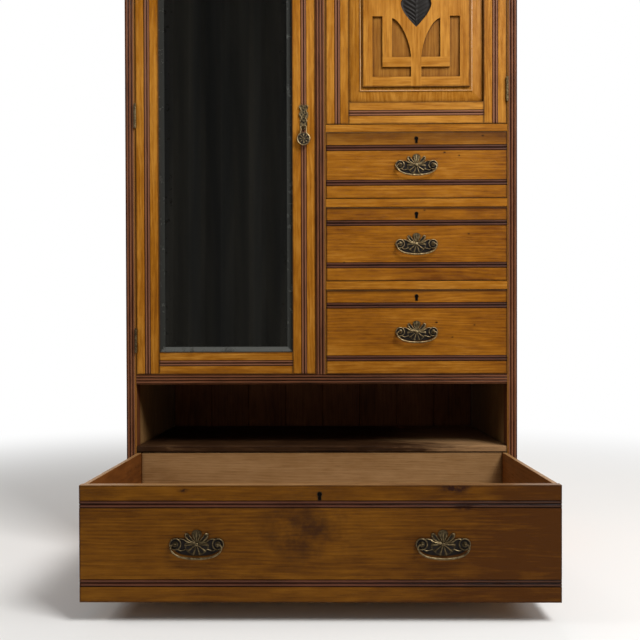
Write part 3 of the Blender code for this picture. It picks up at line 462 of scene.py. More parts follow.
def wood_figure(shader, place, grain):
    """Growth rings, fibres and pores of one board, as (figure, pores)."""
    own = shader.add("ShaderNodeObjectInfo").outputs["Random"]
    axes = grain_axes(shader, shader.vector("MULTIPLY_ADD", own, BOARD_STEP, place), grain)
    waver = shader.math("SUBTRACT", stretched_noise(shader, axes, *WAVER), 0.5)
    cloud = shader.math("SUBTRACT", stretched_noise(shader, axes, *CLOUD), 0.5)
    rings = growth_rings(shader, axes, waver)
    figure = shader.product(rings, RING_WEIGHT)
    for along, across, detail, weight in FIGURE_LAYERS.values():
        layer = stretched_noise(shader, axes, along, across, detail)
        figure = shader.math("MULTIPLY_ADD", layer, weight, figure)
    figure = shader.math("MULTIPLY_ADD", waver, WAVER_WEIGHT, figure)
    figure = shader.math("MULTIPLY_ADD", cloud, CLOUD_WEIGHT, figure)
    board_tone = shader.math("MULTIPLY_ADD", own, BOARD_WEIGHT, BOARD_WEIGHT / 2)
    pores = shader.step(stretched_noise(shader, axes, *PORES), 0.54, 0.68)
    pores = shader.product(pores, shader.math("MULTIPLY_ADD", rings, -0.7, 1.0))
    return shader.math("ADD", figure, board_tone), pores


def dark_edges(shader, place, node):
    """A share that grows towards the edges of a board's face."""
    low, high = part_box(node)
    split = shader.split(place)
    thinnest = min(range(3), key=lambda axis: high[axis] - low[axis])
    gaps = []
    for axis, letter in enumerate("XYZ"):
        if axis != thinnest:
            gaps.append(shader.math("SUBTRACT", split[letter], low[axis]))
            gaps.append(shader.math("SUBTRACT", high[axis], split[letter]))
    ragged = shader.math("MULTIPLY_ADD", shader.noise(place, 60.0, 3.0), 1.4, 0.3)
    reach = shader.product(ragged, bpy.context.scene.wardrobe_wood.edge_reach)
    return shader.fade(shader.fold("MINIMUM", *gaps), 0.0, reach)


def middle_fields(shader, place, node, fields):
    """1 in the fields, each (x span, z span) out from a board's middle on all four sides, and 0 elsewhere."""
    low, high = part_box(node)
    split = shader.split(shader.vector("SUBTRACT", place, tuple((low + high) / 2)))
    out_x = shader.math("ABSOLUTE", split["X"])
    out_z = shader.math("ABSOLUTE", split["Z"])
    inside = []
    for x_span, z_span in fields:
        inside.append(shader.product(shader.spans(out_x, [x_span]), shader.spans(out_z, [z_span])))
    return shader.fold("MAXIMUM", *inside)


def dovetails(shader, place, node):
    """1 on the tails of the sides, let into the ends of a drawer front."""
    wood = bpy.context.scene.wardrobe_wood
    low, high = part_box(node)
    size = high - low
    split = shader.split(place)
    off_middle = shader.math("ABSOLUTE", shader.math("SUBTRACT", split["X"], (low.x + high.x) / 2))
    at_end = shader.math("GREATER_THAN", off_middle, size.x / 2 - TAIL_LAP)
    into = shader.math("DIVIDE", shader.math("SUBTRACT", high.y, split["Y"]), wood.tail_length)
    pitch = size.z / max(2, round(size.z / wood.tail_pitch))
    row = shader.math("FRACT", shader.math("DIVIDE", shader.math("SUBTRACT", split["Z"], low.z), pitch))
    off_row = shader.math("ABSOLUTE", shader.math("SUBTRACT", row, 0.5))
    flare = shader.math("MULTIPLY_ADD", into, 0.09, 0.27)
    tail = shader.product(shader.math("LESS_THAN", off_row, flare), shader.math("LESS_THAN", into, 1.0))
    return shader.product(tail, at_end)


def reed_lines(shader, place, front, colour, axis, spans, count, share):
    """Painted sheen on the crowns and painted shade in the grooves of the reeds on a board's front, the same
    count in each span.

    A count of one gives a plain rubbed edge.
    """
    split = shader.split(place)
    ahead = shader.math("LESS_THAN", split["Y"], front)
    for low, high in spans:
        inside = shader.product(shader.spans(split[axis], [(low, high)]), ahead)
        if count == 1:
            colour = shader.mix(shader.product(inside, share), colour, tone("ash")[2])
            continue
        from_low = shader.math("SUBTRACT", split[axis], low)
        row = shader.math("FRACT", shader.math("DIVIDE", from_low, (high - low) / count))
        off = shader.math("ABSOLUTE", shader.math("SUBTRACT", row, 0.5))
        # Painted sheen on the crowns, then painted shade in the grooves
        crown = shader.product(shader.fade(off, 0.02, 0.30), inside, share)
        colour = shader.mix(crown, colour, bpy.context.scene.wardrobe_wood.crown)
        groove_shade = shader.product(shader.step(off, 0.28, 0.43), inside, 0.85)
        colour = shader.mix(groove_shade, colour, tone("band")[0])
    return colour


def dark_mark(shader, place, centre, half, scale=16.0, share=0.84):
    """Dark blotches that fade out from a centre."""
    near = shader.vector("DIVIDE", shader.vector("SUBTRACT", place, centre), half)
    spots = shader.step(shader.noise(place, scale, 5.0, 0.66), 0.28, 0.68)
    return shader.product(spots, shader.fade(shader.length(near), 0.1, 1.0), share)


def finish_wood(
    node,
    grain,
    main,
    other=None,
    axis="Z",
    spans=(),
    marks=(),
    edge=0.70,
    corner_shade=None,
    crossed=(),
    tails=False,
    top=None,
    shaded_field=None,
    lift=0.0,
    lean=None,
    reeds=(),
    top_shadow=None,
):
    """Finish a board in its main tone, with its grain along one axis.

    Where its place on the axis lies in the spans, it takes the other tone. Some boards have more:
    marks: (centre, half sizes, and perhaps scale and share of its spots) of each dark mark
    edge and the corner share: darkening along the board's edges, and painted shade in its corners
    crossed: fields in which the grain runs along X
    tails: whether the ends show dovetails
    top: tone of the upper edge
    the middle field: (half width, half height, share) of painted shade on a field in the board's middle
    lift: how much lighter the board is than others of its tone
    lean: (low x, high x, lift) of a change towards its right end
    reeds: (axis, spans, reeds in each span, share of the crowns) of each group of reeds, with a painted sheen
    on the crowns and painted shade in the grooves
    the top strip: (height, share) of a painted shadow under the upper edge
    """
    shader = new_shader(f"{node}_wood")
    place = shader.place()
    split = shader.split(place)
    low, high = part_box(node)
    # Darkest stain colour: of the real dark marks and darkened edges, and of the painted shade in corners and
    # under upper edges
    stain_and_shade = tone("stain")[0]
    figure, pores = wood_figure(shader, place, grain)
    if crossed:
        across = middle_fields(shader, place, node, crossed)
        other_figure, other_pores = wood_figure(shader, place, "X")
        figure = shader.math("MULTIPLY_ADD", across, shader.math("SUBTRACT", other_figure, figure), figure)
        pores = shader.math("MULTIPLY_ADD", across, shader.math("SUBTRACT", other_pores, pores), pores)
    figure = shader.math("ADD", figure, lift)
    if lean:
        start, end, change = lean
        figure = shader.math("MULTIPLY_ADD", shader.step(split["X"], start, end), change, figure)
    colour = tone_ramp(shader, figure, main)
    if other:
        colour = shader.mix(shader.spans(split[axis], spans), colour, tone_ramp(shader, figure, other))
    colour = shader.mix(shader.product(pores, 0.36), colour, tone(main)[0])
    for lines in reeds:
        colour = reed_lines(shader, place, low.y + REED_DEPTH, colour, *lines)
    if tails:
        colour = shader.mix(dovetails(shader, place, node), colour, tone_ramp(shader, figure, "warm"))
    # Painted shade on the field in the board's middle
    if shaded_field:
        half_width, half_height, share = shaded_field
        field = middle_fields(shader, place, node, [((0.0, half_width), (0.0, half_height))])
        colour = shader.mix(shader.product(field, share), colour, tone("inner")[0])
    for mark in marks:
        colour = shader.mix(dark_mark(shader, place, *mark), colour, stain_and_shade)
    if edge:
        colour = shader.mix(shader.product(dark_edges(shader, place, node), edge), colour, stain_and_shade)
    # Painted shadow in a strip under the upper edge
    if top_shadow:
        height, share = top_shadow
        shade = shader.fade(shader.math("SUBTRACT", high.z, split["Z"]), 0.0, height)
        colour = shader.mix(shader.product(shade, share), colour, stain_and_shade)
    if top:
        upper = shader.math("GREATER_THAN", split["Z"], high.z - TOP_LAP)
        colour = shader.mix(upper, colour, tone_ramp(shader, figure, top))
    if corner_shade is None:
        corner_shade = bpy.context.scene.wardrobe_wood.corner_shade
    wear = shader.math("MULTIPLY_ADD", shader.noise(place, 9.0, 3.0), 0.22, 0.30)
    height = shader.math("SUBTRACT", shader.product(figure, 0.4), pores)
    # Painted shade in corners and grooves, from ambient occlusion, darkens the base colour
    looks = {
        "Base Color": shader.mix(shader.corners(0.014, corner_shade), colour, stain_and_shade),
        "Roughness": shader.math("MULTIPLY_ADD", pores, 0.18, wear),
        "Specular IOR Level": 0.09,
        "Normal": shader.bump(height, 0.00025),
    }
    finish_node(node, shader.coat(looks))


def finish_node(name, material):
    """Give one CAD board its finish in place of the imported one."""
    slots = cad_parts[name].data.materials
    slots.clear()
    slots.append(material)


def brass_material(name, hollow=0.85, shade=1.0):
    """Aged brass: rubbed on high parts, dark in hollows."""
    found = bpy.data.materials.get(name)
    if found:
        return found
    metal = bpy.context.scene.wardrobe_metal
    shader = new_shader(name)
    place = shader.place()
    patina = shader.noise(place, 160.0, 4.0, 0.6)
    rubbed = shader.step(patina, 0.36, 0.68)
    colour = shader.mix(rubbed, dimmed(metal.brass_dull, shade), dimmed(metal.brass_bright, shade))
    looks = {
        "Base Color": shader.mix(shader.corners(0.006, hollow), colour, metal.brass_dark),
        "Metallic": 1.0,
        "Roughness": shader.math("MULTIPLY_ADD", patina, 0.30, 0.30),
        "Normal": shader.bump(shader.noise(place, 900.0, 3.0), 0.0001),
    }
    return shader.coat(looks)


def black_and_shade_material(name="blackened", shade=1.0, shine=0.20):
    """Blackened ground of the handles, which also paints the shade in their piercings, and the painted shade
    inside the keyholes.
    """
    found = bpy.data.materials.get(name)
    if found:
        return found
    metal = bpy.context.scene.wardrobe_metal
    shader = new_shader(name)
    mottle = shader.noise(shader.place(), 220.0, 4.0, 0.6)
    looks = {
        "Base Color": shader.mix(mottle, dimmed(metal.black_low, shade), dimmed(metal.black_high, shade)),
        "Specular IOR Level": shine,
        "Roughness": shader.math("MULTIPLY_ADD", mottle, 0.25, 0.55),
    }
    return shader.coat(looks)


def carved_material():
    """Dark metal of the carved boss, rubbed grey on its ridges."""
    metal = bpy.context.scene.wardrobe_metal
    shader = new_shader("carved_boss")
    mottle = shader.noise(shader.place(), 260.0, 4.0, 0.6)
    ridge = shader.mix(mottle, metal.boss_dull, metal.boss_rubbed)
    looks = {
        "Base Color": shader.mix(shader.corners(0.008, 0.95), ridge, metal.boss_dark),
        "Specular IOR Level": 0.13,
        "Roughness": shader.math("MULTIPLY_ADD", mottle, 0.2, 0.42),
    }
    return shader.coat(looks)


def bead_highlight_material():
    """Pale ash of the bead round the panel's field: a painted highlight."""
    wood = bpy.context.scene.wardrobe_wood
    shader = new_shader("bead_highlight_ash")
    fibre = shader.noise(shader.place(), 140.0, 4.0, 0.6)
    looks = {
        "Base Color": shader.mix(shader.step(fibre, 0.25, 0.60), wood.ash_light, wood.bead),
        "Roughness": shader.math("MULTIPLY_ADD", fibre, 0.25, 0.22),
        "Specular IOR Level": 0.40,
        "Normal": shader.bump(fibre, 0.0002),
    }
    return shader.coat(looks)


def mirror_material():
    """Silvered glass with a dimmer bevel, whose grey tint is a painted reflection, and with spots of lost
    silvering towards its edges.
    """
    metal = bpy.context.scene.wardrobe_metal
    shader = new_shader("silvered_glass")
    place = shader.place()
    low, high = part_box("mirror_glass")
    centre = (low + high) / 2
    half = (high - low) / 2
    split = shader.split(shader.vector("ABSOLUTE", shader.vector("SUBTRACT", place, tuple(centre))))
    to_side = shader.math("SUBTRACT", half.x, split["X"])
    to_end = shader.math("SUBTRACT", half.z, split["Z"])
    to_edge = shader.math("MINIMUM", to_side, to_end)
    edge = shader.fade(to_edge, 0.010, 0.090)
    spots = shader.math("MULTIPLY_ADD", edge, 0.16, shader.noise(place, 55.0, 5.0, 0.7))
    lost = shader.step(spots, 0.70, 0.80)
    silver = shader.mix(lost, metal.silver, metal.silver_loss)
    # Painted reflection: the bevel takes a dull grey tint in place of the silver
    bevel = shader.math("LESS_THAN", to_edge, metal.bevel_width)
    blind = shader.math("MULTIPLY_ADD", lost, 0.25, 0.025)
    looks = {
        "Base Color": shader.mix(bevel, silver, metal.bevel_reflection),
        "Metallic": shader.math("MULTIPLY_ADD", bevel, -0.40, 1.0),
        "Roughness": shader.math("MULTIPLY_ADD", bevel, 0.12, blind),
    }
    return shader.coat(looks)


def add_piece(name, work, place, body, slot, *materials):
    """Turn a finished bmesh into a smooth new piece that rides on one CAD body."""
    bmesh.ops.remove_doubles(work, verts=work.verts, dist=1e-6)
    bmesh.ops.recalc_face_normals(work, faces=work.faces)
    mesh = bpy.data.meshes.new(name)
    work.to_mesh(mesh)
    work.free()
    mesh.shade_smooth()
    mesh.set_sharp_from_angle(angle=math.radians(50))
    mesh.transform(Matrix.Translation(place))
    for material in materials:
        mesh.materials.append(material)
    piece = bpy.data.objects.new(name, mesh)
    bpy.context.scene.collection.objects.link(piece)
    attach(piece, body)
    return piece


def bridge(work, first, second):
    """Close the strip between two rings of as many points, and give back its faces."""
    faces = []
    for k in range(len(first)):
        n = (k + 1) % len(first)
        faces.append(work.faces.new((first[k], first[n], second[n], second[k])))
    return faces


def add_tube(work, route, radii, sides=8, closed=False, squash=1.0):
    """Sweep a round of changing radius along a route in the XZ plane. squash flattens it front to back."""
    to_back = Vector((0, 1, 0))
    rings = []
    count = len(route)
    for i, point in enumerate(route):
        before = route[i - 1] if i or closed else point
        after = route[(i + 1) % count] if i + 1 < count or closed else point
        forward = (Vector(after) - Vector(before)).normalized()
        side = forward.cross(to_back).normalized()
        ring = []
        for k in range(sides):
            turn = 2 * math.pi * k / sides
            offset = side * math.cos(turn) + to_back * math.sin(turn) * squash
            ring.append(work.verts.new(Vector(point) + offset * radii[i]))
        rings.append(ring)
    for first, second in zip(rings, rings[1:]):
        bridge(work, first, second)
    if closed:
        bridge(work, rings[-1], rings[0])
    else:
        work.faces.new(rings[0])
        work.faces.new(list(reversed(rings[-1])))


def add_bead(work, half_width, half_height, radius, sides=10):
    """Round bead along an upright frame, mitred at its corners."""
    rings = []
    for out_x, out_z in ((-1, -1), (1, -1), (1, 1), (-1, 1)):
        ring = []
        for i in range(sides):
            turn = 2 * math.pi * i / sides
            out = radius * math.cos(turn)
            place = (out_x * (half_width + out), radius * math.sin(turn), out_z * (half_height + out))
            ring.append(work.verts.new(place))
        rings.append(ring)
    for k, ring in enumerate(rings):
        bridge(work, ring, rings[(k + 1) % len(rings)])


def add_lathe(work, centre, profile, sides=16, index=BRIGHT):
    """Turn a profile of (radius, distance to the front) about an axis that points to the front."""
    rings = []
    for radius, out in profile:
        ring = []
        for k in range(sides):
            turn = 2 * math.pi * k / sides
            offset = Vector((radius * math.cos(turn), -out, radius * math.sin(turn)))
            ring.append(work.verts.new(centre + offset))
        rings.append(ring)
    faces = []
    for first, second in zip(rings, rings[1:]):
        faces += bridge(work, second, first)
    faces.append(work.faces.new(rings[0]))
    faces.append(work.faces.new(list(reversed(rings[-1]))))
    for face in faces:
        face.material_index = index


def add_slab(work, outline, front, back, index):
    """Flat plate between two depths. Its outline holds (x, z) and is seen all round from its middle."""
    middle = (sum(x for x, _ in outline) / len(outline), sum(z for _, z in outline) / len(outline))
    near = [work.verts.new((x, front, z)) for x, z in outline]
    far = [work.verts.new((x, back, z)) for x, z in outline]
    near_middle = work.verts.new((middle[0], front, middle[1]))
    far_middle = work.verts.new((middle[0], back, middle[1]))
    for k in range(len(outline)):
        n = (k + 1) % len(outline)
        for corners in (
            (near_middle, near[n], near[k]),
            (far_middle, far[k], far[n]),
            (near[k], near[n], far[n], far[k]),
        ):
            work.faces.new(corners).material_index = index


def arc(centre, radius, start, end, steps, depth=0.0):
    """Points on an arc in the XZ plane, angles in degrees from +X."""
    points = []
    for i in range(steps + 1):
        turn = math.radians(start + (end - start) * i / steps)
        points.append((centre[0] + radius * math.cos(turn), depth, centre[1] + radius * math.sin(turn)))
    return points


def circle(centre, radius, steps):
    """Outline of a round, as (x, z)."""
    return [(x, z) for x, _, z in arc(centre, radius, 0, 360, steps)[:-1]]


def ray(angle, inner, outer, depth, steps=7):
    """A straight rib from the fan's middle outwards."""
    turn = math.radians(angle)
    points = []
    for i in range(steps + 1):
        reach = inner + (outer - inner) * i / steps
        points.append((reach * math.cos(turn), depth, reach * math.sin(turn)))
    return points


def swelling(count, root, tip):
    """Radii of a rib that swells towards its end and rounds off."""
    radii = []
    for i in range(count):
        share = i / (count - 1)
        rounding = math.sqrt(max(0.06, 1 - max(0.0, share - 0.8) ** 2 * 24))
        radii.append((root + (tip - root) * share) * rounding)
    return radii


def smooth_route(points):
    """A rounder route through the points, with four steps from each to the next."""
    last = len(points) - 1
    fine = []
    for i in range(last):
        p0, p1, p2, p3 = (points[min(max(i + k, 0), last)] for k in (-1, 0, 1, 2))
        for t in (0.0, 0.25, 0.5, 0.75):
            bend = (2 * p0 - 5 * p1 + 4 * p2 - p3) * t * t + (3 * p1 - p0 - 3 * p2 + p3) * t ** 3
            fine.append(0.5 * (2 * p1 + (p2 - p0) * t + bend))
    fine.append(points[-1])
    return fine


def scaled(shares, wide, high):
    """Points given as shares of a width and a height."""
    return [(x * wide, z * high) for x, z in shares]


def mirrored(points):
    """The same points on the other side, in reverse order."""
    return [(-x, z) for x, z in reversed(points)]


class HandleSize(NamedTuple):
    """Reach of one handle from the middle of its bail's axis.

    top and drop are its plate's heights over and under the axis, post is the distance of each post, and
    pivot_out is the distance of the axis in front of the plate.
    """

    half_width: float
    top: float
    drop: float
    post: float
    pivot_out: float


def handle_relief(size):
    """Cast drawer handle: a fan of ribs, a leaf and two hooks over it, and a ringed post at each end."""
    handle = bpy.context.scene.wardrobe_handle
    work = bmesh.new()
    add_fan(work, size)
    leaf = [(0.0, 0.10), (0.10, 0.34), (0.160, 0.55), (0.185, 0.74), (0.13, 0.91), (0.0, 0.98)]
    leaf += mirrored(leaf[1:-1])
    add_slab(work, scaled(leaf, size.half_width, size.top), 0.0, PLATE_THICK, DULL)
    for side in (-1, 1):
        add_hook(work, size, side)
        add_neck(work, size, side)
        add_post(work, size, side)
    stem = [(0.0, RELIEF_OUT, z * size.top) for z in (0.12, 0.35, 0.60, 0.80, 0.93)]
    add_tube(work, stem, swelling(len(stem), 0.6 * handle.rope_radius, 0.8 * handle.rib_radius), squash=0.7)
    button = ((0.0045, 0.0), (0.0045, 0.0026), (0.0036, 0.0042), (0.0012, 0.0050))
    add_lathe(work, Vector((0, 0, 0)), button)
    return work


def add_fan(work, size):
    """Ground of the handle, its fan of ribs, and the painted shade in the gaps between them."""
    handle = bpy.context.scene.wardrobe_handle
    fan = []
    for i in range(19):
        turn = -math.pi * i / 18
        fan.append((1.24 * size.drop * math.cos(turn), 1.14 * size.drop * math.sin(turn)))
    fan += scaled([(-0.30, 0.20), (0.0, 0.26), (0.30, 0.20)], size.half_width, size.top)
    add_slab(work, fan, 0.0, PLATE_THICK, DULL)
    # The black ground down to the bail is blackened metal and also a painted shadow under the bail and plate
    ground = [(0.88, -0.36), (0.76, -0.78), (0.58, -1.00), (0.36, -1.12), (0.14, -1.17)]
    ground += mirrored(ground) + [(-0.50, 0.0), (0.0, 0.05), (0.50, 0.0)]
    add_slab(work, scaled(ground, size.half_width, size.drop), 0.0014, PLATE_THICK, BLACK_AND_SHADE)
    ribs = [-4 - 172 * i / (handle.fan_ribs - 1) for i in range(handle.fan_ribs)]
    reaches = [(1.15 + 0.08 * abs(math.cos(math.radians(angle)))) * size.drop for angle in ribs]
    for angle, reach in zip(ribs, reaches):
        route = ray(angle, 0.003, reach, RELIEF_OUT)
        radii = swelling(len(route), 0.5 * handle.rope_radius, 0.85 * handle.rib_radius)
        add_tube(work, route, radii, squash=0.9)
    for i in range(len(ribs) - 1):
        angle = (ribs[i] + ribs[i + 1]) / 2
        add_gap(work, angle, 0.24 * size.drop, 0.95 * min(reaches[i], reaches[i + 1]), 9.5)


def add_gap(work, angle, inner, outer, spread):
    """Painted shade in a pierced gap between two ribs: a dark drop shape out along an angle."""
    half = [(0.35, 0.7), (0.7, 1.0), (0.93, 0.8)]
    outline = []
    for reach, turn in [(0.0, 0.0), *((r, -t) for r, t in half), (1.0, 0.0), *reversed(half)]:
        distance = inner + reach * (outer - inner)
        bearing = math.radians(angle + spread * turn)
        outline.append((distance * math.cos(bearing), distance * math.sin(bearing)))
    add_slab(work, outline, PIERCED_OUT, 0.0, BLACK_AND_SHADE)


def add_strap(work, points, radius, depth, squash=1.0, tip=None):
    """Strap through points, each (x, z), as thick all along or swelling to its tip."""
    route = [(x, depth, z) for x, z in points]
    radii = swelling(len(route), radius, tip) if tip else [radius] * len(route)
    add_tube(work, route, radii, squash=squash)


def add_hook(work, size, side):
    """Hook on one side of the leaf, with its lobe, slot, inner strap, vein and arm."""
    handle = bpy.context.scene.wardrobe_handle
    rope = handle.rope_radius
    rib = handle.rib_radius
    reach = (side * size.half_width, size.top)
    lobe = [(0.05, 0.08), (0.23, 0.16), (0.36, 0.34), (0.43, 0.56), (0.42, 0.72), (0.34, 0.77)]
    lobe += [(0.27, 0.64), (0.20, 0.42)]
    add_slab(work, scaled(lobe, *reach), 0.0006, PLATE_THICK, DULL)
    hook = [(0.06, 0.10), (0.23, 0.18), (0.34, 0.34), (0.405, 0.54)]
    hook += [(0.400, 0.70), (0.34, 0.73), (0.31, 0.64)]
    add_strap(work, scaled(hook, *reach), 1.2 * rope, -0.0002, 1.1, 1.05 * rib)
    inner = [(0.06, 0.14), (0.15, 0.30), (0.22, 0.48), (0.27, 0.62)]
    add_strap(work, scaled(inner, *reach), 0.8 * rope, 0.0, 0.9, 0.9 * rope)
    # The slot is painted shade in the hook's piercing
    slot = [(0.18, 0.26), (0.27, 0.35), (0.33, 0.50), (0.33, 0.61), (0.29, 0.56), (0.24, 0.44)]
    add_slab(work, scaled(slot, *reach), 0.0003, 0.0006, BLACK_AND_SHADE)
    vein = [(0.03, 0.16), (0.07, 0.36), (0.110, 0.56), (0.12, 0.76)]
    add_strap(work, scaled(vein, *reach), 0.5 * rope, RELIEF_OUT, 0.6, 0.7 * rib)
    arm = [(0.05, 0.05), (0.18, 0.08), (0.30, 0.13), (0.40, 0.22), (0.47, 0.30)]
    add_strap(work, scaled(arm, *reach), rope, -0.0002, 1.3, 1.1 * rib)


def add_neck(work, size, side):
    """Dark neck from the fan to a post, with a strap over and under it."""
    rope = bpy.context.scene.wardrobe_handle.rope_radius
    reach = (side * size.half_width, size.drop)
    neck = [(0.34, -0.52), (0.50, -0.60), (0.62, -0.66), (0.74, -0.60), (0.74, 0.60), (0.60, 0.50)]
    neck += [(0.46, 0.34), (0.34, 0.20)]
    add_slab(work, scaled(neck, *reach), 0.0012, PLATE_THICK, BLACK_AND_SHADE)
    for height in (-0.62, 0.48):
        strap = [(0.38, 0.80 * height), (0.50, height), (0.60, 1.08 * height), (0.68, 0.90 * height)]
        add_strap(work, scaled(strap, *reach), 0.95 * rope, 0.0004, 1.3)


def add_post(work, size, side):
    """Ringed boss round the turned post that the bail swings in."""
    handle = bpy.context.scene.wardrobe_handle
    centre = (side * size.post, 0.0)
    add_slab(work, circle(centre, handle.boss_radius, 24), 0.0, PLATE_THICK, DULL)
    # Painted shade in the boss's pierced middle, round the post
    add_slab(work, circle(centre, 0.95 * handle.boss_radius, 24), PIERCED_OUT, 0.0, BLACK_AND_SHADE)
    ring = arc(centre, handle.boss_radius, 0, 360, 24, RELIEF_OUT)[:-1]
    add_tube(work, ring, [1.15 * handle.rope_radius] * len(ring), closed=True)
    neck = handle.neck_radius
    ball = handle.ball_radius
    profile = [(0.0072, 0.0), (0.0070, 0.0018), (neck, 0.0034), (neck, size.pivot_out - ball)]
    for i in range(7):
        turn = math.radians(-55 + 145 * i / 6)
        profile.append((ball * math.cos(turn), size.pivot_out + ball * math.sin(turn)))
    add_lathe(work, Vector((centre[0], 0, centre[1])), profile, index=DULL)


def bail_shape(half_width, hang, post, rod):
    """Swinging bail, thicker in its middle, with two beads."""
    handle = bpy.context.scene.wardrobe_handle
    corners = [(post - 0.004, 0.0), (post + 0.0055, 0.0), (half_width - 0.0016, -0.07 * hang)]
    bend = [(1.0, -0.22), (0.965, -0.42), (0.86, -0.64), (0.68, -0.82), (0.45, -0.93), (0.22, -0.985)]
    corners += scaled(bend, half_width, hang)
    half = [Vector((x, 0, z)) for x, z in corners]
    other_half = [Vector((-point.x, 0, point.z)) for point in half]
    route = smooth_route(other_half + [Vector((0, 0, -hang))] + list(reversed(half)))
    radii = []
    for point in route:
        low = max(0.0, -point.z / hang)
        bead = math.exp(-(((abs(point.x) - handle.bead_place) / 0.0022) ** 2)) * (low > 0.8)
        radii.append(rod * (0.90 + 0.50 * low ** 2) + bead * (handle.bead_radius - rod))
    work = bmesh.new()
    add_tube(work, route, radii, sides=10)
    return work


def drop_plate_relief(half_width, half_height):
    """Cast relief of the drop handle's plate: wavy rails, a crown and small pierced holes."""
    rope = 0.85 * bpy.context.scene.wardrobe_handle.rope_radius
    work = bmesh.new()
    for side in (-1, 1):
        rail = []
        for i in range(25):
            share = i / 24
            z = half_height * (0.84 - 1.20 * share)
            x = half_width * (0.72 + 0.20 * math.cos(4 * math.pi * share)) * (1 - 0.20 * share)
            rail.append((side * x, RELIEF_OUT, z))
        add_tube(work, rail, [rope] * len(rail))
        curl = []
        for i in range(15):
            turn = math.radians(-90 + 330 * i / 14)
            reach = half_width * (0.42 - 0.18 * i / 14)
            x = 0.52 * half_width + reach * math.cos(turn)
            curl.append((side * x, RELIEF_OUT, 0.84 * half_height + reach * math.sin(turn)))
        add_tube(work, curl, swelling(len(curl), 0.8 * rope, 0.9 * rope))
    tip = [(0.0, RELIEF_OUT, half_height * (0.66 + 0.28 * i / 6)) for i in range(7)]
    add_tube(work, tip, swelling(len(tip), 0.7 * rope, 1.5 * rope))
    for x, z, radius in (
        (0.0, 0.56, 0.0019),
        (0.0, 0.34, 0.0019),
        (-0.42, 0.20, 0.0018),
        (0.42, 0.20, 0.0018),
        (-0.40, 0.00, 0.0017),
        (0.40, 0.00, 0.0017),
        (0.0, -0.12, 0.0020),
        (-0.34, -0.34, 0.0015),
        (0.34, -0.34, 0.0015),
        (0.0, -0.42, 0.0022),
    ):
        # Painted shade in each pierced hole
        hole = circle((x * half_width, z * half_height), 1.25 * radius, 14)
        add_slab(work, hole, PIERCED_OUT, 0.0, BLACK_AND_SHADE)
    return work


def rosette_shape(radius, thick):
    """Domed disc with petals in relief, facing the front."""
    petals = bpy.context.scene.wardrobe_handle.petals
    rows = 9
    spokes = 8 * petals
    work = bmesh.new()
    rings = []
    for r in range(rows + 1):
        share = r / rows
        ring = []
        for k in range(spokes):
            turn = 2 * math.pi * k / spokes
            wave = 0.5 + 0.5 * math.cos(petals * turn)
            petal = math.sin(math.pi * min(1.0, max(0.0, (share - 0.25) / 0.75))) * wave
            button = max(0.0, 1 - (share / 0.26) ** 2)
            out = thick * (0.5 + 0.9 * petal + 1.2 * button)
            reach = radius * share
            ring.append(work.verts.new((reach * math.cos(turn), -out, reach * math.sin(turn))))
        rings.append(ring)
    for inner, outer in zip(rings, rings[1:]):
        for face in bridge(work, inner, outer):
            out = sum(-corner.co.y for corner in face.verts) / 4
            face.material_index = BLACK_AND_SHADE if out < 0.80 * thick else BRIGHT
    back = [work.verts.new((vert.co.x, 0.0, vert.co.z)) for vert in rings[-1]]
    bridge(work, rings[-1], back)
    work.faces.new(back)
    return work


def boss_shape(half_width, half_height, rise):
    """Carved pointed oval: a domed leaf with a midrib and slanting veins."""
    rows = 120
    columns = 40
    point_power = 1.55
    vein_turns = 430
    vein_slant = 13
    rib_half = 0.0035
    lip_half = 0.003
    work = bmesh.new()
    grid = []
    for r in range(rows + 1):
        z = half_height * (2 * r / rows - 1) * 0.995
        width = half_width * (1 - (abs(z) / half_height) ** point_power)
        row = []
        for c in range(columns + 1):
            across = 2 * c / columns - 1
            dome = (1 - across * across) * min(1.0, width / (0.4 * half_width))
            vein = 0.5 + 0.5 * math.cos(vein_turns * z - vein_slant * abs(across))
            rib = math.exp(-((across * width / rib_half) ** 2))
            lip = math.exp(-(((1 - abs(across)) * width / lip_half) ** 2))
            leaf = 0.30 * dome + 0.40 * vein * dome * (1 - rib) + 0.35 * rib * dome
            row.append(work.verts.new((width * across, -rise * (0.15 + leaf + 0.35 * lip), z)))
        grid.append(row)
    for low, high in zip(grid, grid[1:]):
        for c in range(columns):
            work.faces.new((low[c], low[c + 1], high[c + 1], high[c]))
    rim = grid[0][:-1] + [row[-1] for row in grid[:-1]]
    rim += list(reversed(grid[-1][1:])) + [row[0] for row in reversed(grid[1:])]
    back = [work.verts.new((vert.co.x, 0.0, vert.co.z)) for vert in rim]
    bridge(work, back, rim)
    work.faces.new(back)
    return work


def keyhole_route(half_width, half_height):
    """Rim of a keyhole: a round head over a narrower skirt."""
    foot = 0.62 * half_width
    head = arc((0.0, half_height - half_width), half_width, -50, 230, 20)
    return head + [(-foot, 0.0, -half_height), (foot, 0.0, -half_height)]


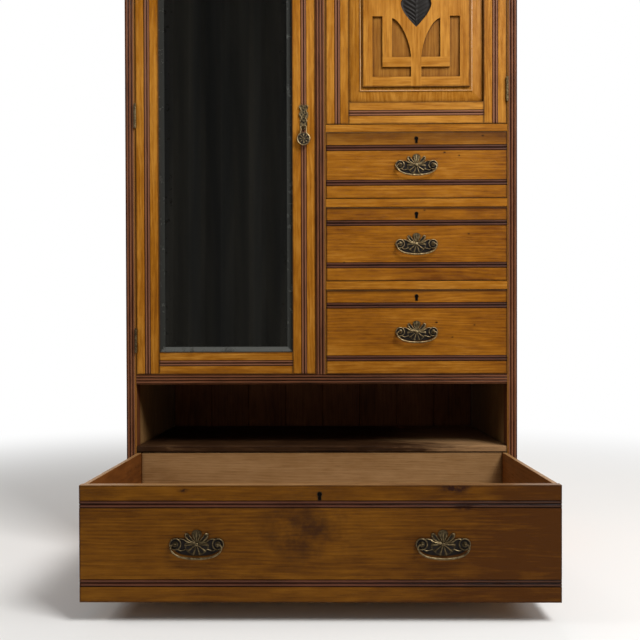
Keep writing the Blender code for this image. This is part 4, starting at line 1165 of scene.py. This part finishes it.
class WARDROBE_OT_carcass(bpy.types.Operator):
    """Finish the boards, posts, cornice and back of the carcass"""

    bl_idname = "wardrobe.carcass"
    bl_label = "Carcass"

    def execute(self, context):
        left_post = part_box("left_post")
        right_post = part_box("right_post")
        inside = [(left_post[1].x - TONE_LAP, right_post[0].x + TONE_LAP)]
        for name in ("left_side", "right_side"):
            finish_wood(name, "Z", "ash", "inner", "X", inside)
        for name in ("left_post", "right_post"):
            finish_wood(name, "Z", "stain", edge=0.0, reeds=self.three_reeds(name))
        behind = [(left_post[1].y - 2 * TONE_LAP, FAR_BACK)]
        reeds = self.three_reeds("partition")
        finish_wood("partition", "Z", "stain", "warm", "Y", behind, edge=0.0, reeds=reeds)
        behind = [(BASE_RAIL_DEPTH, FAR_BACK)]
        rail = self.three_reeds("carcass_floor", "Z", 0.22)
        finish_wood("carcass_floor", "X", "stain", "warm", "Y", behind, edge=0.0, reeds=rail)
        # Dark, with a lighter right end: painted shade in the recess and painted light on its right end
        finish_wood("recess_floor", "X", "dust", edge=0.0, lift=-0.12, lean=(0.05, 0.60, 0.42))
        for name in ("drawer_shelf_1", "drawer_shelf_2", "drawer_shelf_3"):
            finish_wood(name, "X", "ash", "bare", "Y", [(SHELF_LIP, FAR_BACK)], edge=0.0)
        for name in ("top_board", "cornice"):
            finish_wood(name, "X", "ash", edge=0.0)
        finish_wood("plinth", "X", "stain", edge=0.0)
        finish_wood("back_panel", "Z", "aged", edge=0.0)
        finish_node("hanging_rail", brass_material("rail_brass", 0.3))
        return {"FINISHED"}

    def three_reeds(self, name, axis="X", share=0.30):
        """Lines of the three reeds in the middle of a post or rail, and of a post's rubbed inner edge."""
        low, high = (corner["XYZ".index(axis)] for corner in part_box(name))
        middle = (low + high) / 2
        half = 1.5 * REED_WIDTH
        lines = [(axis, [(middle - half, middle + half)], 3, share)]
        if axis == "X":
            rubbed = bpy.context.scene.wardrobe_wood.rubbed_edge
            edge = (low, low + rubbed) if name == "right_post" else (high - rubbed, high)
            lines.append((axis, [edge], 1, 0.45))
        return lines


def finish_door_frame(prefix, lift):
    """Finish the stiles and rails of one door, each with its reed band stained."""
    for part, grain, axis in (
        ("hinge_stile", "Z", "X"),
        ("lock_stile", "Z", "X"),
        ("top_rail", "X", "Z"),
        ("bottom_rail", "X", "Z"),
    ):
        low, high = (corner["XYZ".index(axis)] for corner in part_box(f"{prefix}_{part}"))
        middle = (low + high) / 2
        band = [(middle - BAND_WIDTH / 2, middle + BAND_WIDTH / 2)]
        reeds = [(axis, [(middle - REED_WIDTH, middle + REED_WIDTH)], 2, 0.55)]
        finish_wood(f"{prefix}_{part}", grain, "ash", "stain", axis, band, lift=lift, reeds=reeds)


class WARDROBE_OT_mirror_door(bpy.types.Operator):
    """Finish the mirror door's frame, glass and backboard"""

    bl_idname = "wardrobe.mirror_door"
    bl_label = "Mirror door"

    def execute(self, context):
        finish_door_frame("mirror", 0.05)
        finish_node("mirror_glass", mirror_material())
        finish_wood("mirror_back", "Z", "bare")
        return {"FINISHED"}


class WARDROBE_OT_cupboard_door(bpy.types.Operator):
    """Finish the cupboard door, and add the carved boss in its fret's oval and the bead round its field"""

    bl_idname = "wardrobe.cupboard_door"
    bl_label = "Cupboard door"

    def execute(self, context):
        panel = context.scene.wardrobe_panel
        low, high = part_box("cupboard_fret")
        middle = (low + high) / 2
        half = (high - low) / 2
        finish_door_frame("cupboard", 0.10)
        # Painted shade round the fret, and on the field behind it
        finish_wood("cupboard_panel", "Z", "ash", corner_shade=1.0, shaded_field=(half.x, half.z, 0.36))
        finish_wood("cupboard_fret", "Z", "ash", crossed=FRET_LEVELS, lift=0.08)
        boss = boss_shape(panel.boss_half_width, panel.boss_half_height, panel.boss_rise)
        place = (middle.x, high.y + BOSS_SINK, middle.z)
        add_piece("cupboard_boss", boss, place, "cupboard_door", "brass", carved_material())
        bead = bmesh.new()
        add_bead(bead, half.x + panel.bead_beside, half.z + panel.bead_above, panel.bead_radius)
        place = (middle.x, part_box("cupboard_panel")[0].y + BEAD_SINK, middle.z)
        add_piece("cupboard_bead", bead, place, "cupboard_door", "ash", bead_highlight_material())
        return {"FINISHED"}


class WARDROBE_OT_drawers(bpy.types.Operator):
    """Finish the drawers' reeded fronts and their bare insides"""

    bl_idname = "wardrobe.drawers"
    bl_label = "Drawers"

    def execute(self, context):
        for name in SHORT_DRAWERS:
            lift, top_shadow = SHORT_FRONTS[name]
            looks = {"lift": lift, "top_shadow": top_shadow, "lean": (0.40, 0.60, -0.07)}
            self.finish_front(f"{name}_front", "ash", SHORT_BAND_EDGE, self.specks(name), **looks)
            finish_wood(f"{name}_box", "Y", "bare", edge=0.0)
        # Darker towards its right end: painted shade
        looks = {"lift": -0.025, "lean": (0.05, 0.62, -0.20)}
        self.finish_front("base_drawer_front", "dim_ash", BASE_BAND_EDGE, self.base_marks(), **looks)
        for side in ("left", "right"):
            finish_wood(f"base_drawer_{side}", "Y", "warm", edge=0.0, top="bare")
        finish_wood("base_drawer_back", "X", "bare", edge=0.0, lift=0.12)
        finish_wood("base_drawer_bottom", "X", "bare", edge=0.0)
        return {"FINISHED"}

    def specks(self, name):
        """Small dark specks on a short drawer's front."""
        low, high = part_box(f"{name}_front")
        marks = []
        for x, z in SPECKS[name]:
            centre = (low.x + x * (high.x - low.x), low.y, high.z - z * (high.z - low.z))
            marks.append((centre, SPECK_HALF, 60.0, 1.5))
        return marks

    def base_marks(self):
        """A broad dark stain in the middle of the base drawer's front, and knocks near its upper edge."""
        low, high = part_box("base_drawer_front")
        stain = (-0.03, low.y, (low.z + high.z) / 2 + 0.03)
        marks = [(stain, (0.19, MARK_DEPTH, 0.13))]
        for x, under, half_width, half_height, share in KNOCKS:
            marks.append(((x, low.y, high.z - under), (half_width, MARK_DEPTH, half_height), 70.0, share))
        return marks

    def finish_front(self, name, tone_name, edge, marks, **looks):
        """Finish a drawer front, with a reed band at a distance from its upper and lower edge."""
        low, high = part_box(name)
        outer = edge - BAND_SHIFT
        spans = [(low.z + outer, low.z + outer + BAND_WIDTH), (high.z - outer - BAND_WIDTH, high.z - outer)]
        looks.update(tails=True, top="bare", reeds=[("Z", spans, 2, 0.20)])
        finish_wood(name, "X", tone_name, "band", "Z", spans, marks, **looks)


class WARDROBE_OT_hinges(bpy.types.Operator):
    """Finish the butt hinges"""

    bl_idname = "wardrobe.hinges"
    bl_label = "Hinges"

    def execute(self, context):
        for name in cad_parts:
            if "_hinge_" in name and name.endswith(("_post", "_door")):
                finish_node(name, brass_material("hinge_brass", 0.5, 0.45))
        return {"FINISHED"}


class WARDROBE_OT_handles(bpy.types.Operator):
    """Add the cast relief and the swinging bail of each drawer handle"""

    bl_idname = "wardrobe.handles"
    bl_label = "Handles"

    def execute(self, context):
        for prefix, drawer in HANDLES.items():
            self.add_handle(prefix, drawer)
        return {"FINISHED"}

    def add_handle(self, prefix, drawer):
        """Relief and bail of one handle, in place of its plainer solids."""
        plate_low, plate_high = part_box(f"{prefix}_plate")
        bail_low, bail_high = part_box(f"{prefix}_bail")
        middle = (plate_low.x + plate_high.x) / 2
        rod = (bail_high.y - bail_low.y) / 2
        axis = Vector((middle, (bail_low.y + bail_high.y) / 2, bail_high.z - rod))
        face = plate_high.y - PLATE_THICK
        half_width = (plate_high.x - plate_low.x) / 2
        post = half_width - POST_INSET
        size = HandleSize(half_width, plate_high.z - axis.z, axis.z - plate_low.z, post, face - axis.y)
        plate_brass, bail_brass = self.metals(drawer)
        place = (middle, face, axis.z)
        relief = add_piece(f"{prefix}_relief", handle_relief(size), place, drawer, "brass", *plate_brass)
        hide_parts(f"{prefix}_plate")
        reach = (bail_high.x - bail_low.x) / 2 - rod
        hang = bail_high.z - bail_low.z - 2 * rod
        work = bail_shape(reach, hang, post, rod)
        bail = add_piece(f"{prefix}_bail_smooth", work, axis, f"{prefix}_handle", "brass", bail_brass)
        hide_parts(f"{prefix}_bail")

    def metals(self, drawer):
        """Materials of a handle's plate, in the order of their slots, and of its bail."""
        prefix = ""
        shade = 1.0
        # The base drawer's handles get dimmed copies of the brass: painted shade for the lesser light low
        # down
        if drawer == "base_drawer":
            prefix = "base_"
            shade = bpy.context.scene.wardrobe_handle.base_painted_shade
        bright = brass_material(f"{prefix}handle_brass", 0.85, shade)
        dull = brass_material(f"{prefix}plate_brass", 0.9, 0.45 * shade)
        return (bright, black_and_shade_material(), dull), brass_material(f"{prefix}bail_brass", 0.3, shade)


class WARDROBE_OT_drop_handle(bpy.types.Operator):
    """Add the relief of the drop handle's plate and the rosette in its ring"""

    bl_idname = "wardrobe.drop_handle"
    bl_label = "Drop handle"

    def execute(self, context):
        handle = context.scene.wardrobe_handle
        black = black_and_shade_material()
        low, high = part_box("drop_plate")
        place = Vector(((low.x + high.x) / 2, high.y - PLATE_THICK, (low.z + high.z) / 2))
        relief = drop_plate_relief((high.x - low.x) / 2, (high.z - low.z) / 2)
        brass = brass_material("handle_brass")
        add_piece("drop_plate_relief", relief, place, "mirror_door", "brass", brass, black)
        finish_node("drop_plate", brass_material("drop_brass", 0.9, 0.75))
        ring_low, ring_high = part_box("drop_ring")
        radius = (ring_high.x - ring_low.x) / 2
        tube = (ring_high.y - ring_low.y) / 2
        rosette = rosette_shape(radius - 2.2 * tube, handle.rosette_thick)
        middle = (ring_low.y + ring_high.y) / 2
        place = (place.x, middle - handle.rosette_out, ring_low.z + radius)
        brass = brass_material("rosette_brass", 0.9, 0.75)
        add_piece("drop_rosette", rosette, place, "mirror_drop", "brass", brass, black)
        finish_node("drop_ring", brass_material("bail_brass", 0.3))
        return {"FINISHED"}


class WARDROBE_OT_keyholes(bpy.types.Operator):
    """Add a keyhole with its brass rim under the top edge of each drawer front"""

    bl_idname = "wardrobe.keyholes"
    bl_label = "Keyholes"

    def execute(self, context):
        keyhole = context.scene.wardrobe_keyhole
        route = keyhole_route(keyhole.rim_half_width, keyhole.rim_half_height)
        brass = brass_material("rim_brass", 0.8, 0.10)
        # The keyhole's black inside is painted shade
        dark = black_and_shade_material("keyhole_shadow", 0.25, 0.04)
        for drawer in (*SHORT_DRAWERS, "base_drawer"):
            low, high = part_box(f"{drawer}_front")
            drop = keyhole.base_drop if drawer == "base_drawer" else keyhole.short_drop
            place = ((low.x + high.x) / 2, low.y - keyhole.lift, high.z - drop)
            rim = bmesh.new()
            add_tube(rim, route, [keyhole.rim_thick] * len(route), closed=True)
            add_piece(f"{drawer}_keyhole_rim", rim, place, drawer, "brass", brass)
            hole = bmesh.new()
            add_slab(hole, [(x, z) for x, _, z in route], -0.0001, 0.0002, 0)
            add_piece(f"{drawer}_keyhole", hole, place, drawer, "brass", dark)
        return {"FINISHED"}


class WARDROBE_OT_stage(bpy.types.Operator):
    """Add the floor, the lamps, the surroundings and the camera"""

    bl_idname = "wardrobe.stage"
    bl_label = "Stage"

    def execute(self, context):
        stage = context.scene.wardrobe_stage
        context.scene.view_settings.view_transform = "Standard"
        self.add_floor(stage)
        self.add_curtain(stage)
        self.add_world(stage)
        for name, place, aim, size, setting, share in LAMPS:
            self.add_lamp(name, place, aim, size, share * getattr(stage, setting))
        self.add_camera(stage)
        return {"FINISHED"}

    def background_rays(self, shader):
        """1 for the rays that show a background: from the camera, a mirror or through glass."""
        path = shader.add("ShaderNodeLightPath").outputs
        kinds = ("Is Camera Ray", "Is Glossy Ray", "Is Transmission Ray")
        return shader.fold("MAXIMUM", *(path[kind] for kind in kinds))

    def add_sheet(self, name, points, faces, material):
        """Link a mesh of the surroundings, which isn't part of the wardrobe."""
        mesh = bpy.data.meshes.new(name)
        mesh.from_pydata(points, [], faces)
        mesh.materials.append(material)
        sheet = bpy.data.objects.new(name, mesh)
        bpy.context.scene.collection.objects.link(sheet)
        return sheet

    def add_floor(self, stage):
        """Pale floor that keeps the wardrobe's shadow and fades into white."""
        shader = new_shader("floor")
        looks = {"Base Color": stage.floor_colour, "Roughness": 0.9, "Specular IOR Level": 0.0}
        material = shader.coat(looks)
        away = shader.step(shader.length(shader.place()), stage.fade_start, stage.fade_end)
        far = shader.product(away, self.background_rays(shader))
        white = shader.add("ShaderNodeEmission", {"Color": WHITE, "Strength": 1.0})
        blend = shader.add("ShaderNodeMixShader", {0: far, 1: shader.surface.outputs[0], 2: white.outputs[0]})
        shader.feed(shader.tree.nodes["Material Output"].inputs["Surface"], blend.outputs[0])
        reach = stage.floor_reach
        points = [(-reach, -reach, 0), (reach, -reach, 0), (reach, reach, 0), (-reach, reach, 0)]
        self.add_sheet("floor", points, [(0, 1, 2, 3)], material)

    def add_curtain(self, stage):
        """Dark hanging curtain round the front, which only mirrors and gloss show."""
        shader = new_shader("curtain")
        folds = shader.noise(shader.vector("MULTIPLY", shader.place(), (2.6, 2.6, 0.22)), 1.0, 3.0, 0.6)
        cloth = stage.curtain_colour
        # The cloth is darker in patches: painted shade of its folds
        shade = shader.mix(shader.step(folds, 0.34, 0.66), dimmed(cloth, 0.15), cloth)
        material = shader.coat({"Base Color": shade, "Roughness": 1.0})
        steps = 400
        rim = []
        for i in range(steps + 1):
            turn = math.radians(-195 + 210 * i / steps)
            fold = stage.curtain_reach + 0.10 * math.sin(0.95 * i) + 0.06 * math.sin(0.37 * i)
            rim.append((fold * math.cos(turn), fold * math.sin(turn)))
        points = [(x, y, 0.01) for x, y in rim]
        points += [(0.9 * x, 0.9 * y, stage.curtain_height) for x, y in rim]
        faces = [(i, i + 1, steps + 2 + i, steps + 1 + i) for i in range(steps)]
        curtain = self.add_sheet("curtain", points, faces, material)
        curtain.visible_camera = False
        curtain.visible_diffuse = False
        curtain.visible_shadow = False

    def add_world(self, stage):
        """Even light from all round, and a white background."""
        world = bpy.data.worlds.new("studio")
        bpy.context.scene.world = world
        shader = Shader(world)
        light = shader.tree.nodes["Background"]
        shader.feed(light.inputs["Color"], WHITE)
        shader.feed(light.inputs["Strength"], stage.world_light)
        white = shader.add("ShaderNodeBackground", {"Color": WHITE})
        seen = self.background_rays(shader)
        blend = shader.add("ShaderNodeMixShader", {0: seen, 1: light.outputs[0], 2: white.outputs[0]})
        shader.feed(shader.tree.nodes["World Output"].inputs["Surface"], blend.outputs[0])

    def add_lamp(self, name, place, aim, size, power):
        """Square lamp that faces the place it is aimed at."""
        lamp = bpy.data.lights.new(name, "AREA")
        lamp.energy = power
        lamp.size = size
        piece = bpy.data.objects.new(name, lamp)
        piece.location = place
        piece.rotation_euler = (Vector(aim) - Vector(place)).to_track_quat("-Z", "Y").to_euler()
        bpy.context.scene.collection.objects.link(piece)

    def add_camera(self, stage):
        """Camera at the height and distance from which the wardrobe is shown."""
        camera = bpy.data.cameras.new("camera")
        camera.lens = stage.lens
        camera.sensor_width = 36.0
        camera.shift_y = stage.shift
        piece = bpy.data.objects.new("camera", camera)
        place = Matrix.Translation((stage.camera_side, -stage.camera_distance, stage.camera_height))
        turn = Matrix.Rotation(stage.camera_turn, 4, "Z")
        tilt = Matrix.Rotation(math.pi / 2 - stage.camera_tilt, 4, "X")
        piece.matrix_world = place @ turn @ tilt @ Matrix.Rotation(stage.camera_roll, 4, "Z")
        bpy.context.scene.collection.objects.link(piece)
        bpy.context.scene.camera = piece


class WARDROBE_PT_panel(bpy.types.Panel):
    """The wardrobe's pieces, in the order in which they are made"""

    bl_idname = "WARDROBE_PT_panel"
    bl_label = "Wardrobe"
    bl_space_type = "VIEW_3D"
    bl_region_type = "UI"
    bl_category = "Wardrobe"

    def draw(self, context):
        for operator in OPERATORS:
            self.layout.operator(operator.bl_idname)


SETTINGS = {
    "wardrobe_wood": WoodSettings,
    "wardrobe_metal": MetalSettings,
    "wardrobe_handle": HandleSettings,
    "wardrobe_panel": PanelSettings,
    "wardrobe_keyhole": KeyholeSettings,
    "wardrobe_stage": StageSettings,
}
OPERATORS = (
    WARDROBE_OT_carcass,
    WARDROBE_OT_mirror_door,
    WARDROBE_OT_cupboard_door,
    WARDROBE_OT_drawers,
    WARDROBE_OT_hinges,
    WARDROBE_OT_handles,
    WARDROBE_OT_drop_handle,
    WARDROBE_OT_keyholes,
    WARDROBE_OT_stage,
)


def register():
    for name, settings in SETTINGS.items():
        bpy.utils.register_class(settings)
        setattr(bpy.types.Scene, name, PointerProperty(type=settings))
    for operator in OPERATORS:
        bpy.utils.register_class(operator)
    bpy.utils.register_class(WARDROBE_PT_panel)


def unregister():
    bpy.utils.unregister_class(WARDROBE_PT_panel)
    for operator in reversed(OPERATORS):
        bpy.utils.unregister_class(operator)
    for name, settings in reversed(SETTINGS.items()):
        delattr(bpy.types.Scene, name)
        bpy.utils.unregister_class(settings)


def main():
    register()
    bpy.ops.wardrobe.carcass()
    bpy.ops.wardrobe.mirror_door()
    bpy.ops.wardrobe.cupboard_door()
    bpy.ops.wardrobe.drawers()
    bpy.ops.wardrobe.hinges()
    bpy.ops.wardrobe.handles()
    bpy.ops.wardrobe.drop_handle()
    bpy.ops.wardrobe.keyholes()
    bpy.ops.wardrobe.stage()
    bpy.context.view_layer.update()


if __name__ == "__main__":
    main()
